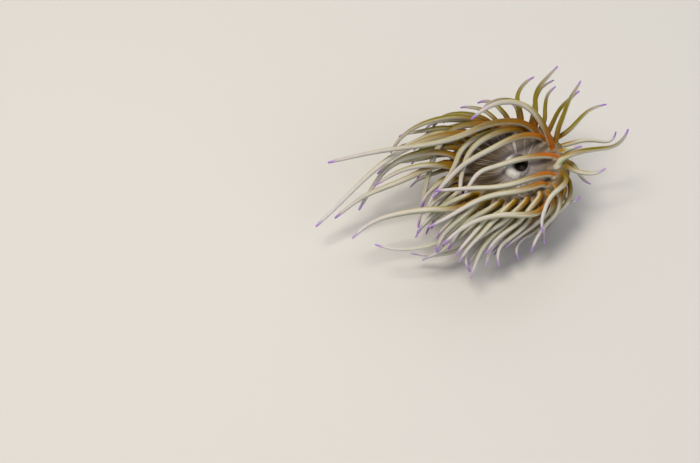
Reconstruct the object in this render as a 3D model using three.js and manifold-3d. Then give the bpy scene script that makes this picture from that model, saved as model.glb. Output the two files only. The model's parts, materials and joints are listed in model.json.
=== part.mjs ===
// A snakelocks sea anemone at life size, standing on its pedal disc with its crown of arms spread.
// Millimetres, +Z up. The origin is the centre of the pedal disc's flat underside, -Y is the front, and the
// crown streams towards -X. Bearings are degrees round +Z from +X, and lifts are degrees above the horizon.
import * as THREE from "three";
import { mergeVertices } from "three/addons/utils/BufferGeometryUtils.js";
import Module from "manifold-3d";

const { degToRad, lerp, smoothstep, clamp } = THREE.MathUtils;
const wasm = await Module();
wasm.setup();

// ---------------------------------------------------------------- driving dimensions
const GAP = 0.3; // between neighbouring pieces
const FOOT_RADIUS = 21.8;
const WAIST_RADIUS = 17.6;
const DISC_RADIUS = 18.2; // bare oral disc, inside the arm roots
const CROWN_RADIUS = 25.2; // outside of the collar
const FOOT_TOP = 2.7;
const COLUMN_TOP = 17.2;
const COLLAR_TOP = 24.8;
const COLLAR_CORE = { radius: 21.7, height: 21.4 }; // centre line of the collar's rounded rim
const MOUTH_RADIUS = 2.5;
const LIP_RADIUS = 5.6;
const LIP_TOP = 25.2;
const LEAN_BEARING = 218; // the crown tips a little towards this bearing
const LEAN_ANGLE = 8;
const LEAN_PIVOT = new THREE.Vector3(0, 0, 8);

// ---------------------------------------------------------------- rows of arm roots on the collar
// "droop" is how far below the inner row's lift a row's arms set out.
const ROWS = {
  inner: { radius: 20.1, height: 24.6, girth: 1.25, droop: 0 },
  middle: { radius: 22.4, height: 24, girth: 1.15, droop: 14 },
  outer: { radius: 24.6, height: 21.3, girth: 1.02, droop: 34 },
};
const SECTORS = 12;
const SECTOR_ANGLE = 360 / SECTORS;
// The roots of one sector, each a row and a bearing counted from the sector's first edge.
const SECTOR_ROOTS = [
  ["inner", 5],
  ["inner", 19],
  ["middle", 12],
  ["middle", 25],
  ["outer", 5],
  ["outer", 15],
  ["outer", 25],
];

// How the crown streams: for the middle of each sector, an arm's length, the lift it sets out with, then its
// bearing and lift a third of the way along and at the tip. The upper table serves the inner and middle rows.
const UPPER_STREAM = [
  [26, 38, 20, 18, 40, 22],
  [26, 42, 72, 30, 58, 20],
  [15, 45, 120, 30, 150, 10],
  [30, 42, 172, 12, 222, -26],
  [32, 34, 180, 4, 208, -20],
  [33, 30, 186, -3, 205, -16],
  [20, 26, 210, -16, 230, -26],
  [30, 28, 212, -14, 226, -22],
  [37, 34, 214, -9, 236, -26],
  [38, 36, 222, -12, 238, -28],
  [30, 36, 236, -18, 248, -30],
  [24, 34, 288, -15, 256, -20],
];
const LOWER_STREAM = [
  [18, 36, 20, 0, 35, 8],
  [26, 40, 66, 14, 58, 18],
  [13, 42, 100, 22, 120, 12],
  [22, 40, 165, 6, 205, -12],
  [24, 36, 180, 0, 208, -16],
  [18, 34, 195, -8, 218, -22],
  [16, 34, 215, -20, 238, -30],
  [23, 34, 216, -16, 236, -24],
  [30, 36, 216, -10, 238, -24],
  [31, 36, 222, -12, 248, -34],
  [27, 36, 236, -18, 250, -28],
  [14, 36, 312, -16, 322, -8],
];

// The arms posed one by one, each with the row and bearing of its root, its length, and the headings
// [bearing, lift] along it. The standing arms stand out from the crown, and are divided into lengths.
const STANDING_ARMS = [
  ["inner", 19, 48, [[126, 62], [131, 60], [146, 42], [188, 3], [214, -26]]],
  ["inner", 49, 94, [[138, 60], [182, 14], [206, -6], [190, -4], [190, -4]]],
  ["inner", 35, 60, [[165, 48], [190, 15], [211, -7], [217, -15], [222, -24]]],
  ["inner", 5, 46, [[178, 36], [184, 8], [188, 1], [191, -3], [194, -5], [198, -6], [202, -8], [254, -38], [262, -38]]],
  ["inner", 335, 53, [[193, 50], [209, 12], [205, -2], [179, -5], [175, -5]]],
  ["inner", 319, 56, [[225, 40], [212, 10], [192, -2], [207, -8], [206, -13]]],
  ["outer", 305, 52, [[285, 26], [222, 8], [194, 5], [195, -6], [222, -20]]],
  ["inner", 65, 55, [[198, 42], [188, 9], [207, -6], [257, -10], [266, -22]]],
  ["inner", 79, 53, [[205, 42], [195, 8], [213, -8], [258, -14], [215, -20]]],
  ["inner", 95, 67, [[195, 45], [186, 10], [197, -5], [233, -18], [255, -28], [265, -36]]],
  ["inner", 125, 85, [[205, 40], [190, 16], [200, -3], [215, -11], [215, -22], [226, -20]]],
  ["middle", 175, 57, [[182, 24], [190, 1], [207, -12], [202, -13], [213, -22]]],
  ["inner", 169, 55, [[160, 36], [170, 22], [180, -6], [186, -15], [238, -25], [234, -22]]],
  ["middle", 235, 58, [[228, 29], [212, 0], [178, 4], [192, -7], [222, -24]]],
];
const JOINED_ARMS = [
  ["inner", 349, 38, [[55, 45], [30, 18], [14, 0], [18, -4], [62, 32]]],
  ["middle", 12, 10, [[12, 30], [18, 4], [0, 12]]],
  ["middle", 25, 34, [[50, 48], [82, 34], [64, 14], [66, 10], [62, 12]]],
  ["middle", 42, 37, [[100, 58], [128, 50], [150, 26], [168, 4], [235, -20]]],
  ["middle", 55, 35, [[95, 58], [92, 50], [86, 10], [60, 8], [44, 18]]],
  ["middle", 72, 26, [[85, 52], [94, 50], [105, 22], [64, 24], [28, 0]]],
  ["middle", 102, 33, [[140, 45], [162, 32], [167, 7], [184, -16], [250, -26]]],
  ["middle", 252, 39, [[245, 22], [222, -16], [218, -16], [212, -18], [203, -17]]],
  ["middle", 282, 41, [[280, 20], [236, -22], [217, -14], [227, -17], [262, -26]]],
  ["middle", 295, 35, [[292, 15], [250, -40], [226, -20], [213, -15], [285, -22]]],
  ["middle", 312, 32, [[308, 15], [252, -42], [220, -26], [212, -12], [228, -22]]],
  ["middle", 325, 32, [[320, 15], [262, -32], [228, -24], [232, -22], [262, -24]]],
  ["middle", 342, 35, [[335, 25], [290, 5], [232, -3], [222, -4], [236, -24], [300, -34]]],
  ["middle", 355, 20, [[345, 25], [314, -4], [336, -8], [352, 0], [38, 28]]],
  ["inner", 185, 38, [[180, 28], [170, 8], [183, -5], [193, -13], [206, -20]]],
  ["inner", 109, 51, [[145, 50], [170, 32], [177, 0], [203, -16], [240, -18]]],
  ["inner", 289, 46, [[285, 35], [246, -6], [222, -14], [211, -15], [209, -17], [315, -30]]],
  ["inner", 305, 39, [[300, 35], [264, -14], [218, -18], [214, -11], [235, -20]]],
  ["outer", 5, 15, [[0, 0], [320, -14], [306, -18], [303, -25], [340, -15]]],
  ["outer", 15, 8, [[15, 5], [15, -2]]],
  ["outer", 25, 27, [[15, 12], [8, 10], [12, 10], [2, -2], [356, -6], [80, 50]]],
  ["outer", 35, 30, [[22, 25], [18, 27], [48, 13], [42, 9], [18, 0]]],
  ["outer", 45, 27, [[50, 22], [62, 29], [60, 15], [54, 10], [36, 8]]],
  ["outer", 55, 24, [[50, 25], [44, 34], [88, 26], [84, 10], [28, 9]]],
  ["outer", 65, 28, [[62, 25], [72, 38], [82, 17], [62, 8], [30, 4]]],
  ["outer", 245, 53, [[235, 10], [225, -6], [215, -10], [195, -3], [160, 15]]],
  ["outer", 255, 42, [[248, -8], [212, -32], [218, -24], [190, -14], [176, 14]]],
  ["outer", 285, 24, [[278, -12], [240, -46], [226, -24], [226, -15], [225, -16]]],
  ["outer", 295, 27, [[285, -12], [226, -48], [222, -26], [212, -14], [214, -12]]],
  ["outer", 315, 33, [[300, -12], [232, -44], [218, -18], [212, -14], [290, -20]]],
  ["outer", 325, 30, [[308, -12], [226, -46], [222, -18], [222, -10], [226, -14]]],
  ["outer", 335, 29, [[322, -14], [252, -44], [226, -28], [234, -18], [246, -6]]],
  ["outer", 345, 34, [[332, -8], [254, -30], [236, -20], [222, -16], [285, -14]]],
  ["outer", 355, 22, [[342, -8], [262, -40], [250, -36], [248, -36], [275, -25], [340, 0], [75, 30]]],
];

// ---------------------------------------------------------------- arms: shape
const HEADING_SPACING = 1.6; // power that draws an arm's headings towards its root
const LENGTHS = 3; // of a standing arm
const POINT_STEP = 2; // spacing of an arm's points
const TIP_GIRTH = 0.45; // tip radius as a share of the root's
const TAPER = 1.8; // power of the taper from root to tip
const FAN_SWAY = 9; // largest random change of a fan arm's bearings and lifts
const LENGTH_SPREAD = 0.12;
const FAN_WAVE = 9; // sideways swing of a heading, in degrees
const POSED_WAVE = 5;
const STANDING_GIRTH = 1.42; // radius at the root of an arm that stands out of the crown
const WAVES = 1.4; // swings in an arm's length
const WAVES_FROM = 0.4; // share of the arm where the swing has grown to its full size
const HOOK = [0.1, 0.8]; // how steeply a tip bends down at least and at most
const HOOK_FROM = 0.8; // share of the arm where the hook begins
const POSED_EASE = 0.3; // how readily a posed arm gives way, against 1 for the others

// ---------------------------------------------------------------- small helpers
let seed = 20260;
function random() {
  seed = (seed * 1664525 + 1013904223) % 4294967296;
  return seed / 4294967296;
}
const spread = (amount) => amount * (2 * random() - 1);

function heading(bearing, lift) {
  const b = degToRad(bearing);
  const l = degToRad(lift);
  return new THREE.Vector3(Math.cos(l) * Math.cos(b), Math.cos(l) * Math.sin(b), Math.sin(l));
}

const LEAN_AXIS = heading(LEAN_BEARING + 90, 0);
function leaned(point, share = 1) {
  const turn = share * degToRad(LEAN_ANGLE) * smoothstep(point.z, FOOT_TOP, COLUMN_TOP);
  return point.clone().sub(LEAN_PIVOT).applyAxisAngle(LEAN_AXIS, turn).add(LEAN_PIVOT);
}

// ---------------------------------------------------------------- arms: routes
// The stream table's values at any bearing, between its two nearest sector middles.
function streamAt(table, bearing) {
  const place = (((bearing / SECTOR_ANGLE - 0.5) % SECTORS) + SECTORS) % SECTORS;
  const low = Math.floor(place);
  const share = place - low;
  const a = table[low];
  const b = table[(low + 1) % SECTORS];
  return a.map((value, k) => {
    const isBearing = k === 2 || k === 4;
    const other = isBearing ? value + ((((b[k] - value + 180) % 360) + 360) % 360) - 180 : b[k];
    return lerp(value, other, share);
  });
}

// The direction at a share t of the way along an arm. The headings lie closer together towards the root.
function directionAt(headings, t) {
  const place = Math.pow(clamp(t, 0, 1), 1 / HEADING_SPACING) * (headings.length - 1);
  const low = Math.min(Math.floor(place), headings.length - 2);
  const a = heading(...headings[low]);
  const b = heading(...headings[low + 1]);
  return a.lerp(b, place - low).normalize();
}

function grow(row, bearing, length, headings, wave, hook) {
  const { radius, height, girth } = ROWS[row];
  const b = degToRad(bearing);
  const root = leaned(new THREE.Vector3(radius * Math.cos(b), radius * Math.sin(b), height));
  const steps = Math.round(length / POINT_STEP);
  const phase = 2 * Math.PI * random();
  const point = root.clone();
  const points = [root];
  for (let i = 0; i < steps; i++) {
    const t = (i + 0.5) / steps;
    const along = directionAt(headings, t);
    const side = new THREE.Vector3(-along.y, along.x, 0).normalize();
    const swing = degToRad(wave) * Math.sin(phase + 2 * Math.PI * WAVES * t) * smoothstep(t, 0, WAVES_FROM);
    along.addScaledVector(side, swing);
    along.z -= hook * smoothstep(t, HOOK_FROM, 1);
    along.normalize();
    point.addScaledVector(along, length / steps);
    points.push(point.clone());
  }
  return { row, bearing, girth, points };
}

function fanArm(row, bearing) {
  const table = row === "outer" ? LOWER_STREAM : UPPER_STREAM;
  const [length, rootLift, midBearing, midLift, tipBearing, tipLift] = streamAt(table, bearing);
  const headings = [
    [bearing, rootLift - ROWS[row].droop],
    [midBearing + spread(FAN_SWAY), midLift + spread(FAN_SWAY)],
    [tipBearing + spread(FAN_SWAY) * 2, tipLift + spread(FAN_SWAY)],
  ];
  const hook = lerp(...HOOK, random());
  return grow(row, bearing, length * (1 + spread(LENGTH_SPREAD)), headings, FAN_WAVE, hook);
}

const posed = (lengths) => ([row, bearing, length, headings]) => ({
  ...grow(row, bearing, length, headings, POSED_WAVE, 0),
  lengths,
  ease: POSED_EASE,
});
const standingArms = STANDING_ARMS.map(posed(LENGTHS)).map((arm) => ({ ...arm, girth: STANDING_GIRTH }));
const posedArms = [...standingArms, ...JOINED_ARMS.map(posed(0))];
const isPosed = (row, bearing) => posedArms.some((arm) => arm.row === row && arm.bearing === bearing);
const streamArms = [];
for (let sector = 0; sector < SECTORS; sector++)
  for (const [row, offset] of SECTOR_ROOTS) {
    const bearing = sector * SECTOR_ANGLE + offset;
    if (!isPosed(row, bearing)) streamArms.push({ ...fanArm(row, bearing), lengths: 0, ease: 1 });
  }

// ---------------------------------------------------------------- arms: settling
// The arms are pushed apart, off the body and off the floor, and bend smoothly as they give way.
const SKIN_GAP = 0.34; // half of the room kept between two arms
const GIRTH_ROOM = 1.12; // room for the corners of an arm's faceted section
const FLOOR_ROOM = 1.6;
const STIFF_ROOT = 3; // an arm doesn't move within this of its root,
const FREE_FROM = 13; // and moves freely from here on
const ROUNDS = 200;
const LOOK_AGAIN = 8; // rounds between two searches for neighbours
const LOOK_ROOM = 3;
const SMOOTHING = [0.5, 0.12]; // at the first and last round
const PUSH_SHARE = 0.4; // of an overlap is undone in a round
const BODY_PUSH_SHARE = 0.5;
const FULL_CROSSING = 0.77; // sine of the angle at which two arms count as crossing
const BODY_RADII = [
  [0, FOOT_RADIUS],
  [3, 20],
  [9, WAIST_RADIUS],
  [17, 20.5],
  [COLLAR_CORE.height, CROWN_RADIUS],
];

function armRadius(girth, t) {
  return girth * lerp(1, TIP_GIRTH, Math.pow(t, TAPER));
}

function bodyRadius(z) {
  for (let k = 1; k < BODY_RADII.length; k++) {
    const [z0, r0] = BODY_RADII[k - 1];
    const [z1, r1] = BODY_RADII[k];
    if (z < z1) return lerp(r0, r1, clamp((z - z0) / (z1 - z0), 0, 1));
  }
  return CROWN_RADIUS;
}

// Beads along the arms: where each is, the room it needs, and how readily it moves.
function beadsOf(arms) {
  return arms.flatMap((arm, index) => {
    const last = arm.points.length - 1;
    return arm.points.map((at, i) => ({
      arm: index,
      home: at.clone(),
      at,
      before: i > 0,
      after: i < last,
      room: armRadius(arm.girth, i / last) * GIRTH_ROOM + SKIN_GAP,
      ease: smoothstep(i * POINT_STEP, STIFF_ROOT, FREE_FROM) * arm.ease,
      along: new THREE.Vector3(),
    }));
  });
}

function neighbours(beads) {
  const pairs = [];
  for (let i = 0; i < beads.length; i++)
    for (let j = i + 1; j < beads.length; j++) {
      const a = beads[i];
      const b = beads[j];
      if (a.arm === b.arm || a.ease + b.ease === 0) continue;
      const reach = a.room + b.room + LOOK_ROOM;
      if (a.at.distanceToSquared(b.at) < reach * reach) pairs.push([i, j]);
    }
  return pairs;
}

// Two beads are pushed apart along the line between them, or, where their arms cross, along the crossing's
// common normal, so that one arm passes over the other.
function pushApart(a, b, pushA, pushB) {
  const gap = a.at.clone().sub(b.at);
  const bite = a.room + b.room - gap.length();
  if (bite <= 0) return;
  const normal = a.along.clone().cross(b.along);
  const crossing = Math.min(1, normal.length() / FULL_CROSSING);
  const way = gap.normalize();
  if (crossing > 0) {
    normal.normalize().multiplyScalar(Math.sign(normal.dot(way)) || 1);
    way.lerp(normal, crossing * crossing).normalize();
  }
  const scale = bite / (a.ease + b.ease);
  pushA.addScaledVector(way, scale * a.ease);
  pushB.addScaledVector(way, -scale * b.ease);
}

// The body below the rim is a wall of revolution, the rim is round, and the disc inside it is flat.
function keepOffBody(bead) {
  const q = leaned(bead.at, -1);
  const out = Math.hypot(q.x, q.y);
  const overRim = out - COLLAR_CORE.radius;
  const aboveCore = q.z - COLLAR_CORE.height;
  let outward = 0;
  let upward = 0;
  if (aboveCore < 0) {
    outward = Math.max(0, bodyRadius(q.z) + bead.room - out);
  } else if (overRim < 0) {
    upward = Math.max(0, COLLAR_TOP + bead.room - q.z);
  } else {
    const away = Math.hypot(overRim, aboveCore);
    const bite = Math.max(0, CROWN_RADIUS - COLLAR_CORE.radius + bead.room - away);
    outward = (bite * overRim) / away;
    upward = (bite * aboveCore) / away;
  }
  const share = BODY_PUSH_SHARE * Math.min(1, bead.ease * 2);
  bead.at.x += (share * outward * q.x) / out;
  bead.at.y += (share * outward * q.y) / out;
  bead.at.z = Math.max(bead.at.z + share * upward, FLOOR_ROOM + bead.room);
}

function settle(arms) {
  const beads = beadsOf(arms);
  let pairs = [];
  for (let round = 0; round < ROUNDS; round++) {
    if (round % LOOK_AGAIN === 0) {
      pairs = neighbours(beads);
      beads.forEach((bead, i) => {
        const next = beads[bead.after ? i + 1 : i];
        const previous = beads[bead.before ? i - 1 : i];
        bead.along.subVectors(next.at, previous.at).normalize();
      });
    }
    const pushes = beads.map(() => new THREE.Vector3());
    for (const [i, j] of pairs) pushApart(beads[i], beads[j], pushes[i], pushes[j]);
    const moving = beads.filter((bead) => bead.ease > 0);
    beads.forEach((bead, i) => bead.at.addScaledVector(pushes[i], PUSH_SHARE));
    moving.forEach(keepOffBody);
    const share = lerp(SMOOTHING[0], SMOOTHING[1], round / ROUNDS);
    const shifts = beads.map((bead) => bead.at.clone().sub(bead.home));
    beads.forEach((bead, i) => {
      if (bead.ease === 0) return;
      const mean = shifts[i - 1].clone().add(shifts[bead.after ? i + 1 : i]).multiplyScalar(0.5);
      bead.at.addScaledVector(mean.sub(shifts[i]), share);
    });
  }
}

const arms = [...posedArms, ...streamArms];
settle(arms);

// ---------------------------------------------------------------- solids
const SIDES = 5; // of an arm's cross-section
const CORNER_REACH = 1.15; // puts the polygon's corners outside the round arm, for the same cross-section
const STATION_TOLERANCE = 0.58; // how far an arm's straight stretches may cut its bends
const TIP_END = 0.62; // an arm's very end, as a share of its tip's radius
const SEAT_DEPTH = 1.6; // how deep an arm is rooted in its collar,
const SEAT_DROP = 0.8; // towards a line this far below the collar's core
const STUB_POINTS = 2; // points of a standing arm's root that stay with its collar
const WIDE_SEGMENTS = 32; // round the foot
const BODY_SEGMENTS = 28;
const LIP_SEGMENTS = 16;
const COLLAR_SEGMENTS = 24; // two to a sector
const SLIVER = 0.14; // details this small are cleaned off the arms and the collars joined with them

function toSolid(geometry) {
  geometry.deleteAttribute("normal");
  geometry.deleteAttribute("uv");
  const merged = mergeVertices(geometry, 1e-4);
  return new wasm.Manifold(
    new wasm.Mesh({
      numProp: 3,
      vertProperties: new Float32Array(merged.attributes.position.array),
      triVerts: new Uint32Array(merged.index.array),
    }),
  );
}

function toGeometry(solid) {
  const mesh = solid.getMesh();
  const geometry = new THREE.BufferGeometry();
  geometry.setAttribute("position", new THREE.BufferAttribute(new Float32Array(mesh.vertProperties), 3));
  geometry.setIndex([...mesh.triVerts]);
  geometry.computeVertexNormals();
  return geometry;
}

function reshape(geometry, move) {
  const position = geometry.attributes.position;
  const p = new THREE.Vector3();
  for (let i = 0; i < position.count; i++) {
    const q = move(p.fromBufferAttribute(position, i));
    position.setXYZ(i, q.x, q.y, q.z);
  }
  return geometry;
}

// A solid of revolution about +Z from [radius, height] corners, run anticlockwise, tipped with the crown.
function turned(corners, segments, move = (p) => p.clone(), turn = 0) {
  const outline = corners.map(([r, z]) => new THREE.Vector2(r, z));
  const geometry = new THREE.LatheGeometry(outline, segments, turn, 2 * Math.PI).rotateX(Math.PI / 2);
  return toSolid(reshape(geometry, (p) => leaned(move(p))));
}

// ---------------------------------------------------------------- body
const FOOT_LOBES = 7;
const LOBE_DEPTH = 0.025;
const LIP_PLACE = [3.5, -1.2]; // the lip's middle, aside from the disc's own
const LIP_STRETCH = 0.25; // the lip is longer from front to back,
const OPENING_PLACE = [1.9, 1.5]; // and opens aside from its own middle,
const OPENING_STRETCH = 0.25; // in a mouth that is longer still

function lobed(p) {
  const out = Math.hypot(p.x, p.y) / FOOT_RADIUS;
  const swell = 1 + LOBE_DEPTH * out * out * Math.cos(FOOT_LOBES * Math.atan2(p.y, p.x));
  return new THREE.Vector3(p.x * swell, p.y * swell, p.z);
}

// Sets the lip and its opening aside from the disc's middle, fading to nothing at the disc's edge.
function setAside(p) {
  const radius = Math.hypot(p.x, p.y);
  const near = 1 - smoothstep(radius, LIP_RADIUS + GAP, DISC_RADIUS);
  const inside = 1 - smoothstep(radius, MOUTH_RADIUS, LIP_RADIUS);
  const longer = 1 + LIP_STRETCH * near + OPENING_STRETCH * inside;
  const x = p.x + LIP_PLACE[0] * near + OPENING_PLACE[0] * inside;
  const y = p.y * longer + LIP_PLACE[1] * near + OPENING_PLACE[1] * inside;
  return new THREE.Vector3(x, y, p.z);
}

const foot = () =>
  turned(
    [
      [0, 0],
      [FOOT_RADIUS - 0.9, 0],
      [FOOT_RADIUS, 0.8],
      [FOOT_RADIUS - 0.7, 2],
      [19.6, FOOT_TOP],
      [0, FOOT_TOP],
    ],
    WIDE_SEGMENTS,
    lobed,
  );

const column = () =>
  turned(
    [
      [0, FOOT_TOP + GAP],
      [19.2, FOOT_TOP + GAP],
      [18.1, 6],
      [WAIST_RADIUS, 9.5],
      [18.1, 12.5],
      [19.3, 15.2],
      [20.6, COLUMN_TOP],
      [0, COLUMN_TOP],
    ],
    BODY_SEGMENTS,
  );

const oralDisc = () =>
  turned(
    [
      [LIP_RADIUS + GAP, COLUMN_TOP + GAP],
      [DISC_RADIUS, COLUMN_TOP + GAP],
      [DISC_RADIUS, 23.9],
      [14, 22.8],
      [9, 22.6],
      [LIP_RADIUS + GAP, 23.3],
      [LIP_RADIUS + GAP, COLUMN_TOP + GAP],
    ],
    BODY_SEGMENTS,
    setAside,
  );

const lip = () =>
  turned(
    [
      [MOUTH_RADIUS, COLUMN_TOP + GAP],
      [LIP_RADIUS, COLUMN_TOP + GAP],
      [LIP_RADIUS, 23.6],
      [5.1, 24.7],
      [4.4, LIP_TOP],
      [3.4, 24.8],
      [MOUTH_RADIUS, 23.6],
      [MOUTH_RADIUS, COLUMN_TOP + GAP],
    ],
    LIP_SEGMENTS,
    setAside,
  );

// One sector of the collar: the ring's outline, cut along two radii that leave a gap to its neighbours.
const collarRing = () => [
  [DISC_RADIUS + GAP, COLUMN_TOP + GAP],
  [20.9, COLUMN_TOP + GAP],
  [23.8, 19],
  [CROWN_RADIUS, COLLAR_CORE.height],
  [24.5, 23.4],
  [22.6, COLLAR_TOP],
  [20.2, COLLAR_TOP],
  [DISC_RADIUS + GAP, 24.1],
  [DISC_RADIUS + GAP, COLUMN_TOP + GAP],
];

function sectorPrism(sector) {
  const from = degToRad(sector * SECTOR_ANGLE);
  const to = degToRad((sector + 1) * SECTOR_ANGLE);
  const reach = 2 * CROWN_RADIUS;
  const inset = GAP / 2 / Math.sin(degToRad(SECTOR_ANGLE / 2));
  const apex = heading((sector + 0.5) * SECTOR_ANGLE, 0).multiplyScalar(inset);
  const corner = (angle, r) => new THREE.Vector2(apex.x + r * Math.cos(angle), apex.y + r * Math.sin(angle));
  const shape = new THREE.Shape([corner(from, 0), corner(from, reach), corner(to, reach)]);
  const prism = new THREE.ExtrudeGeometry(shape, { depth: COLLAR_TOP - COLUMN_TOP + 2, bevelEnabled: false });
  return toSolid(reshape(prism.translate(0, 0, COLUMN_TOP), (p) => leaned(p)));
}

// ---------------------------------------------------------------- arms as solids
// A route's rings: centres, radii, directions, and a side direction carried along without twisting.
function ringsOf(arm) {
  const { points, girth } = arm;
  const last = points.length - 1;
  const home = leaned(points[0], -1);
  const angle = Math.atan2(home.y, home.x);
  const core = leaned(
    new THREE.Vector3(
      COLLAR_CORE.radius * Math.cos(angle),
      COLLAR_CORE.radius * Math.sin(angle),
      COLLAR_CORE.height - SEAT_DROP,
    ),
  );
  const seat = points[0].clone().add(core.sub(points[0]).setLength(SEAT_DEPTH));
  const centres = [seat, ...points];
  const rings = centres.map((at, k) => ({
    at,
    radius: armRadius(girth, Math.max(0, k - 1) / last),
    along: centres[Math.min(k + 1, last + 1)].clone().sub(centres[Math.max(k - 1, 0)]).normalize(),
  }));
  let side = new THREE.Vector3(0, 0, 1);
  for (const ring of rings) {
    side = side.clone().addScaledVector(ring.along, -side.dot(ring.along)).normalize();
    ring.side = side;
  }
  return rings;
}

// Keeps the rings that are needed for the straight stretches between them to stay near the route.
function thinned(rings, first, last) {
  const chord = new THREE.Line3(rings[first].at, rings[last].at);
  const nearest = new THREE.Vector3();
  let worst = first;
  let distance = 0;
  for (let k = first + 1; k < last; k++) {
    const away = chord.closestPointToPoint(rings[k].at, true, nearest).distanceTo(rings[k].at);
    if (away > distance) [worst, distance] = [k, away];
  }
  if (distance < STATION_TOLERANCE) return [rings[first], rings[last]];
  return [...thinned(rings, first, worst).slice(0, -1), ...thinned(rings, worst, last)];
}

const shifted = (ring, along, size = 1) => ({
  ...ring,
  at: ring.at.clone().addScaledVector(ring.along, along),
  radius: ring.radius * size,
});

// A closed tube through rings, made by bending a cylinder along them.
function tube(rings) {
  const bent = new THREE.CylinderGeometry(1, 1, 1, SIDES, rings.length - 1);
  const across = new THREE.Vector3();
  reshape(bent, (p) => {
    const ring = rings[Math.round((0.5 - p.y) * (rings.length - 1))];
    const reach = ring.radius * CORNER_REACH;
    across.crossVectors(ring.along, ring.side);
    return ring.at
      .clone()
      .addScaledVector(ring.side, p.x * reach)
      .addScaledVector(across, p.z * reach);
  });
  return toSolid(bent).simplify(SLIVER);
}

// The rings of an arm from one ring to another, with a narrow end where it is the arm's tip.
function stretch(rings, first, last) {
  const kept = thinned(rings, first, last);
  if (last === rings.length - 1) kept.push(shifted(kept.pop(), 0, TIP_END));
  return kept;
}

// An arm's lengths, cut across at equal shares of it, with half a gap taken from each side of a cut.
function lengthsOf(arm) {
  const rings = ringsOf(arm);
  const last = rings.length - 1;
  const cutAt = (k) => Math.round(lerp(STUB_POINTS, last, k / arm.lengths));
  const cuts = Array.from({ length: arm.lengths + 1 }, (_, k) => cutAt(k));
  const stub = stretch(rings, 0, STUB_POINTS);
  stub.push(shifted(stub.pop(), -GAP / 2));
  const pieces = cuts.slice(0, -1).map((cut, k) => {
    const piece = stretch(rings, cut, cuts[k + 1]);
    piece[0] = shifted(piece[0], GAP / 2);
    if (k < arm.lengths - 1) piece.push(shifted(piece.pop(), -GAP / 2));
    return piece;
  });
  return { stub, pieces };
}

const sectorOf = (arm) => Math.floor(arm.bearing / SECTOR_ANGLE);
const joinedRings = (arm) => stretch(ringsOf(arm), 0, arm.points.length);

function collarWithArms(sector, dividedArms) {
  const ring = turned(collarRing(), COLLAR_SEGMENTS, undefined, Math.PI / COLLAR_SEGMENTS);
  const wedge = ring.intersect(sectorPrism(sector));
  const wholeArms = arms.filter((arm) => sectorOf(arm) === sector && !arm.lengths);
  const whole = wholeArms.map((arm) => tube(joinedRings(arm)));
  const stubs = dividedArms.filter(({ arm }) => sectorOf(arm) === sector).map(({ stub }) => tube(stub));
  return wasm.Manifold.union([wedge, ...whole, ...stubs]).simplify(SLIVER);
}

// ---------------------------------------------------------------- the whole animal
const COLOURS = {
  foot: 0x8a6d5c,
  column: 0x96735f,
  disc: 0x8b7f7a,
  lip: 0xcdc6c0,
  crown: 0xaea378,
  tip: 0xb49cc4,
};
const finish = (color) => new THREE.MeshStandardMaterial({ color, roughness: 0.38, metalness: 0 });
const group = new THREE.Group();

function add(name, solid, color) {
  const mesh = new THREE.Mesh(toGeometry(solid), finish(color));
  mesh.name = name;
  group.add(mesh);
}

add("foot", foot(), COLOURS.foot);
add("column", column(), COLOURS.column);
add("oral_disc", oralDisc(), COLOURS.disc);
add("lip", lip(), COLOURS.lip);

const dividedArms = arms.filter((arm) => arm.lengths).map((arm) => ({ arm, ...lengthsOf(arm) }));
const PIECE_NAMES = ["root", "middle", "tip"];
const number = (k) => String(k + 1).padStart(2, "0");
for (let sector = 0; sector < SECTORS; sector++) {
  add(`collar_${number(sector)}`, collarWithArms(sector, dividedArms), COLOURS.crown);
}
dividedArms.forEach(({ pieces }, k) => {
  pieces.forEach((rings, n) => {
    const color = n === pieces.length - 1 ? COLOURS.tip : COLOURS.crown;
    add(`tentacle_${number(k)}_${PIECE_NAMES[n]}`, tube(rings), color);
  });
});

export default group;
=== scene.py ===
"""A snakelocks sea anemone at life size, as a still model: one skin over its foot, column, crown and arms."""

import json
import math
from functools import partial

import bpy
import numpy as np
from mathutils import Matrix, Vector

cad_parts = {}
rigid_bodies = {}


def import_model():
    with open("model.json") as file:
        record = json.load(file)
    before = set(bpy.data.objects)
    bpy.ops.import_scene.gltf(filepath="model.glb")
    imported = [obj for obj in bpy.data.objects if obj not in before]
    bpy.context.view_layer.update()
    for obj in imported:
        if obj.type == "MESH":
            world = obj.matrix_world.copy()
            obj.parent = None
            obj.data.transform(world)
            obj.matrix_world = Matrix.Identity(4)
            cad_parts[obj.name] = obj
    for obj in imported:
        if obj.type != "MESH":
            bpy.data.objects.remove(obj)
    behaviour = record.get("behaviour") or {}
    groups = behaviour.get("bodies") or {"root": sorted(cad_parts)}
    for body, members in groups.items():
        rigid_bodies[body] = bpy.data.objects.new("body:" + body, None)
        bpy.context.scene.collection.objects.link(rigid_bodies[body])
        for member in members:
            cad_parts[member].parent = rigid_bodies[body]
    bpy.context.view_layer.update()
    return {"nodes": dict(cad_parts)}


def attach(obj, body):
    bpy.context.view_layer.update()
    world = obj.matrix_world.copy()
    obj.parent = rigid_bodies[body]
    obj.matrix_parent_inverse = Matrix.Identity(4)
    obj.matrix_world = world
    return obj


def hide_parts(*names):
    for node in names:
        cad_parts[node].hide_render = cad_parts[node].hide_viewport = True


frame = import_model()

# ---- sizes, in millimetres and degrees
MM = 0.001
FOOT_RADIUS = 21.8
FOOT_TOP = 2.7
FOOT_LOBES = 7
LOBE_DEPTH = 0.025
WAIST_RADIUS = 17.6
COLUMN_TOP = 17.2
CROWN_RADIUS = 25.2
COLLAR_TOP = 24.8
COLLAR_CORE = (21.7, 21.4)  # radius and height of the rounded rim's centre line
DISC_RADIUS = 18.2
LIP_RADIUS = 5.6
MOUTH_RADIUS = 2.5
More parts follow.
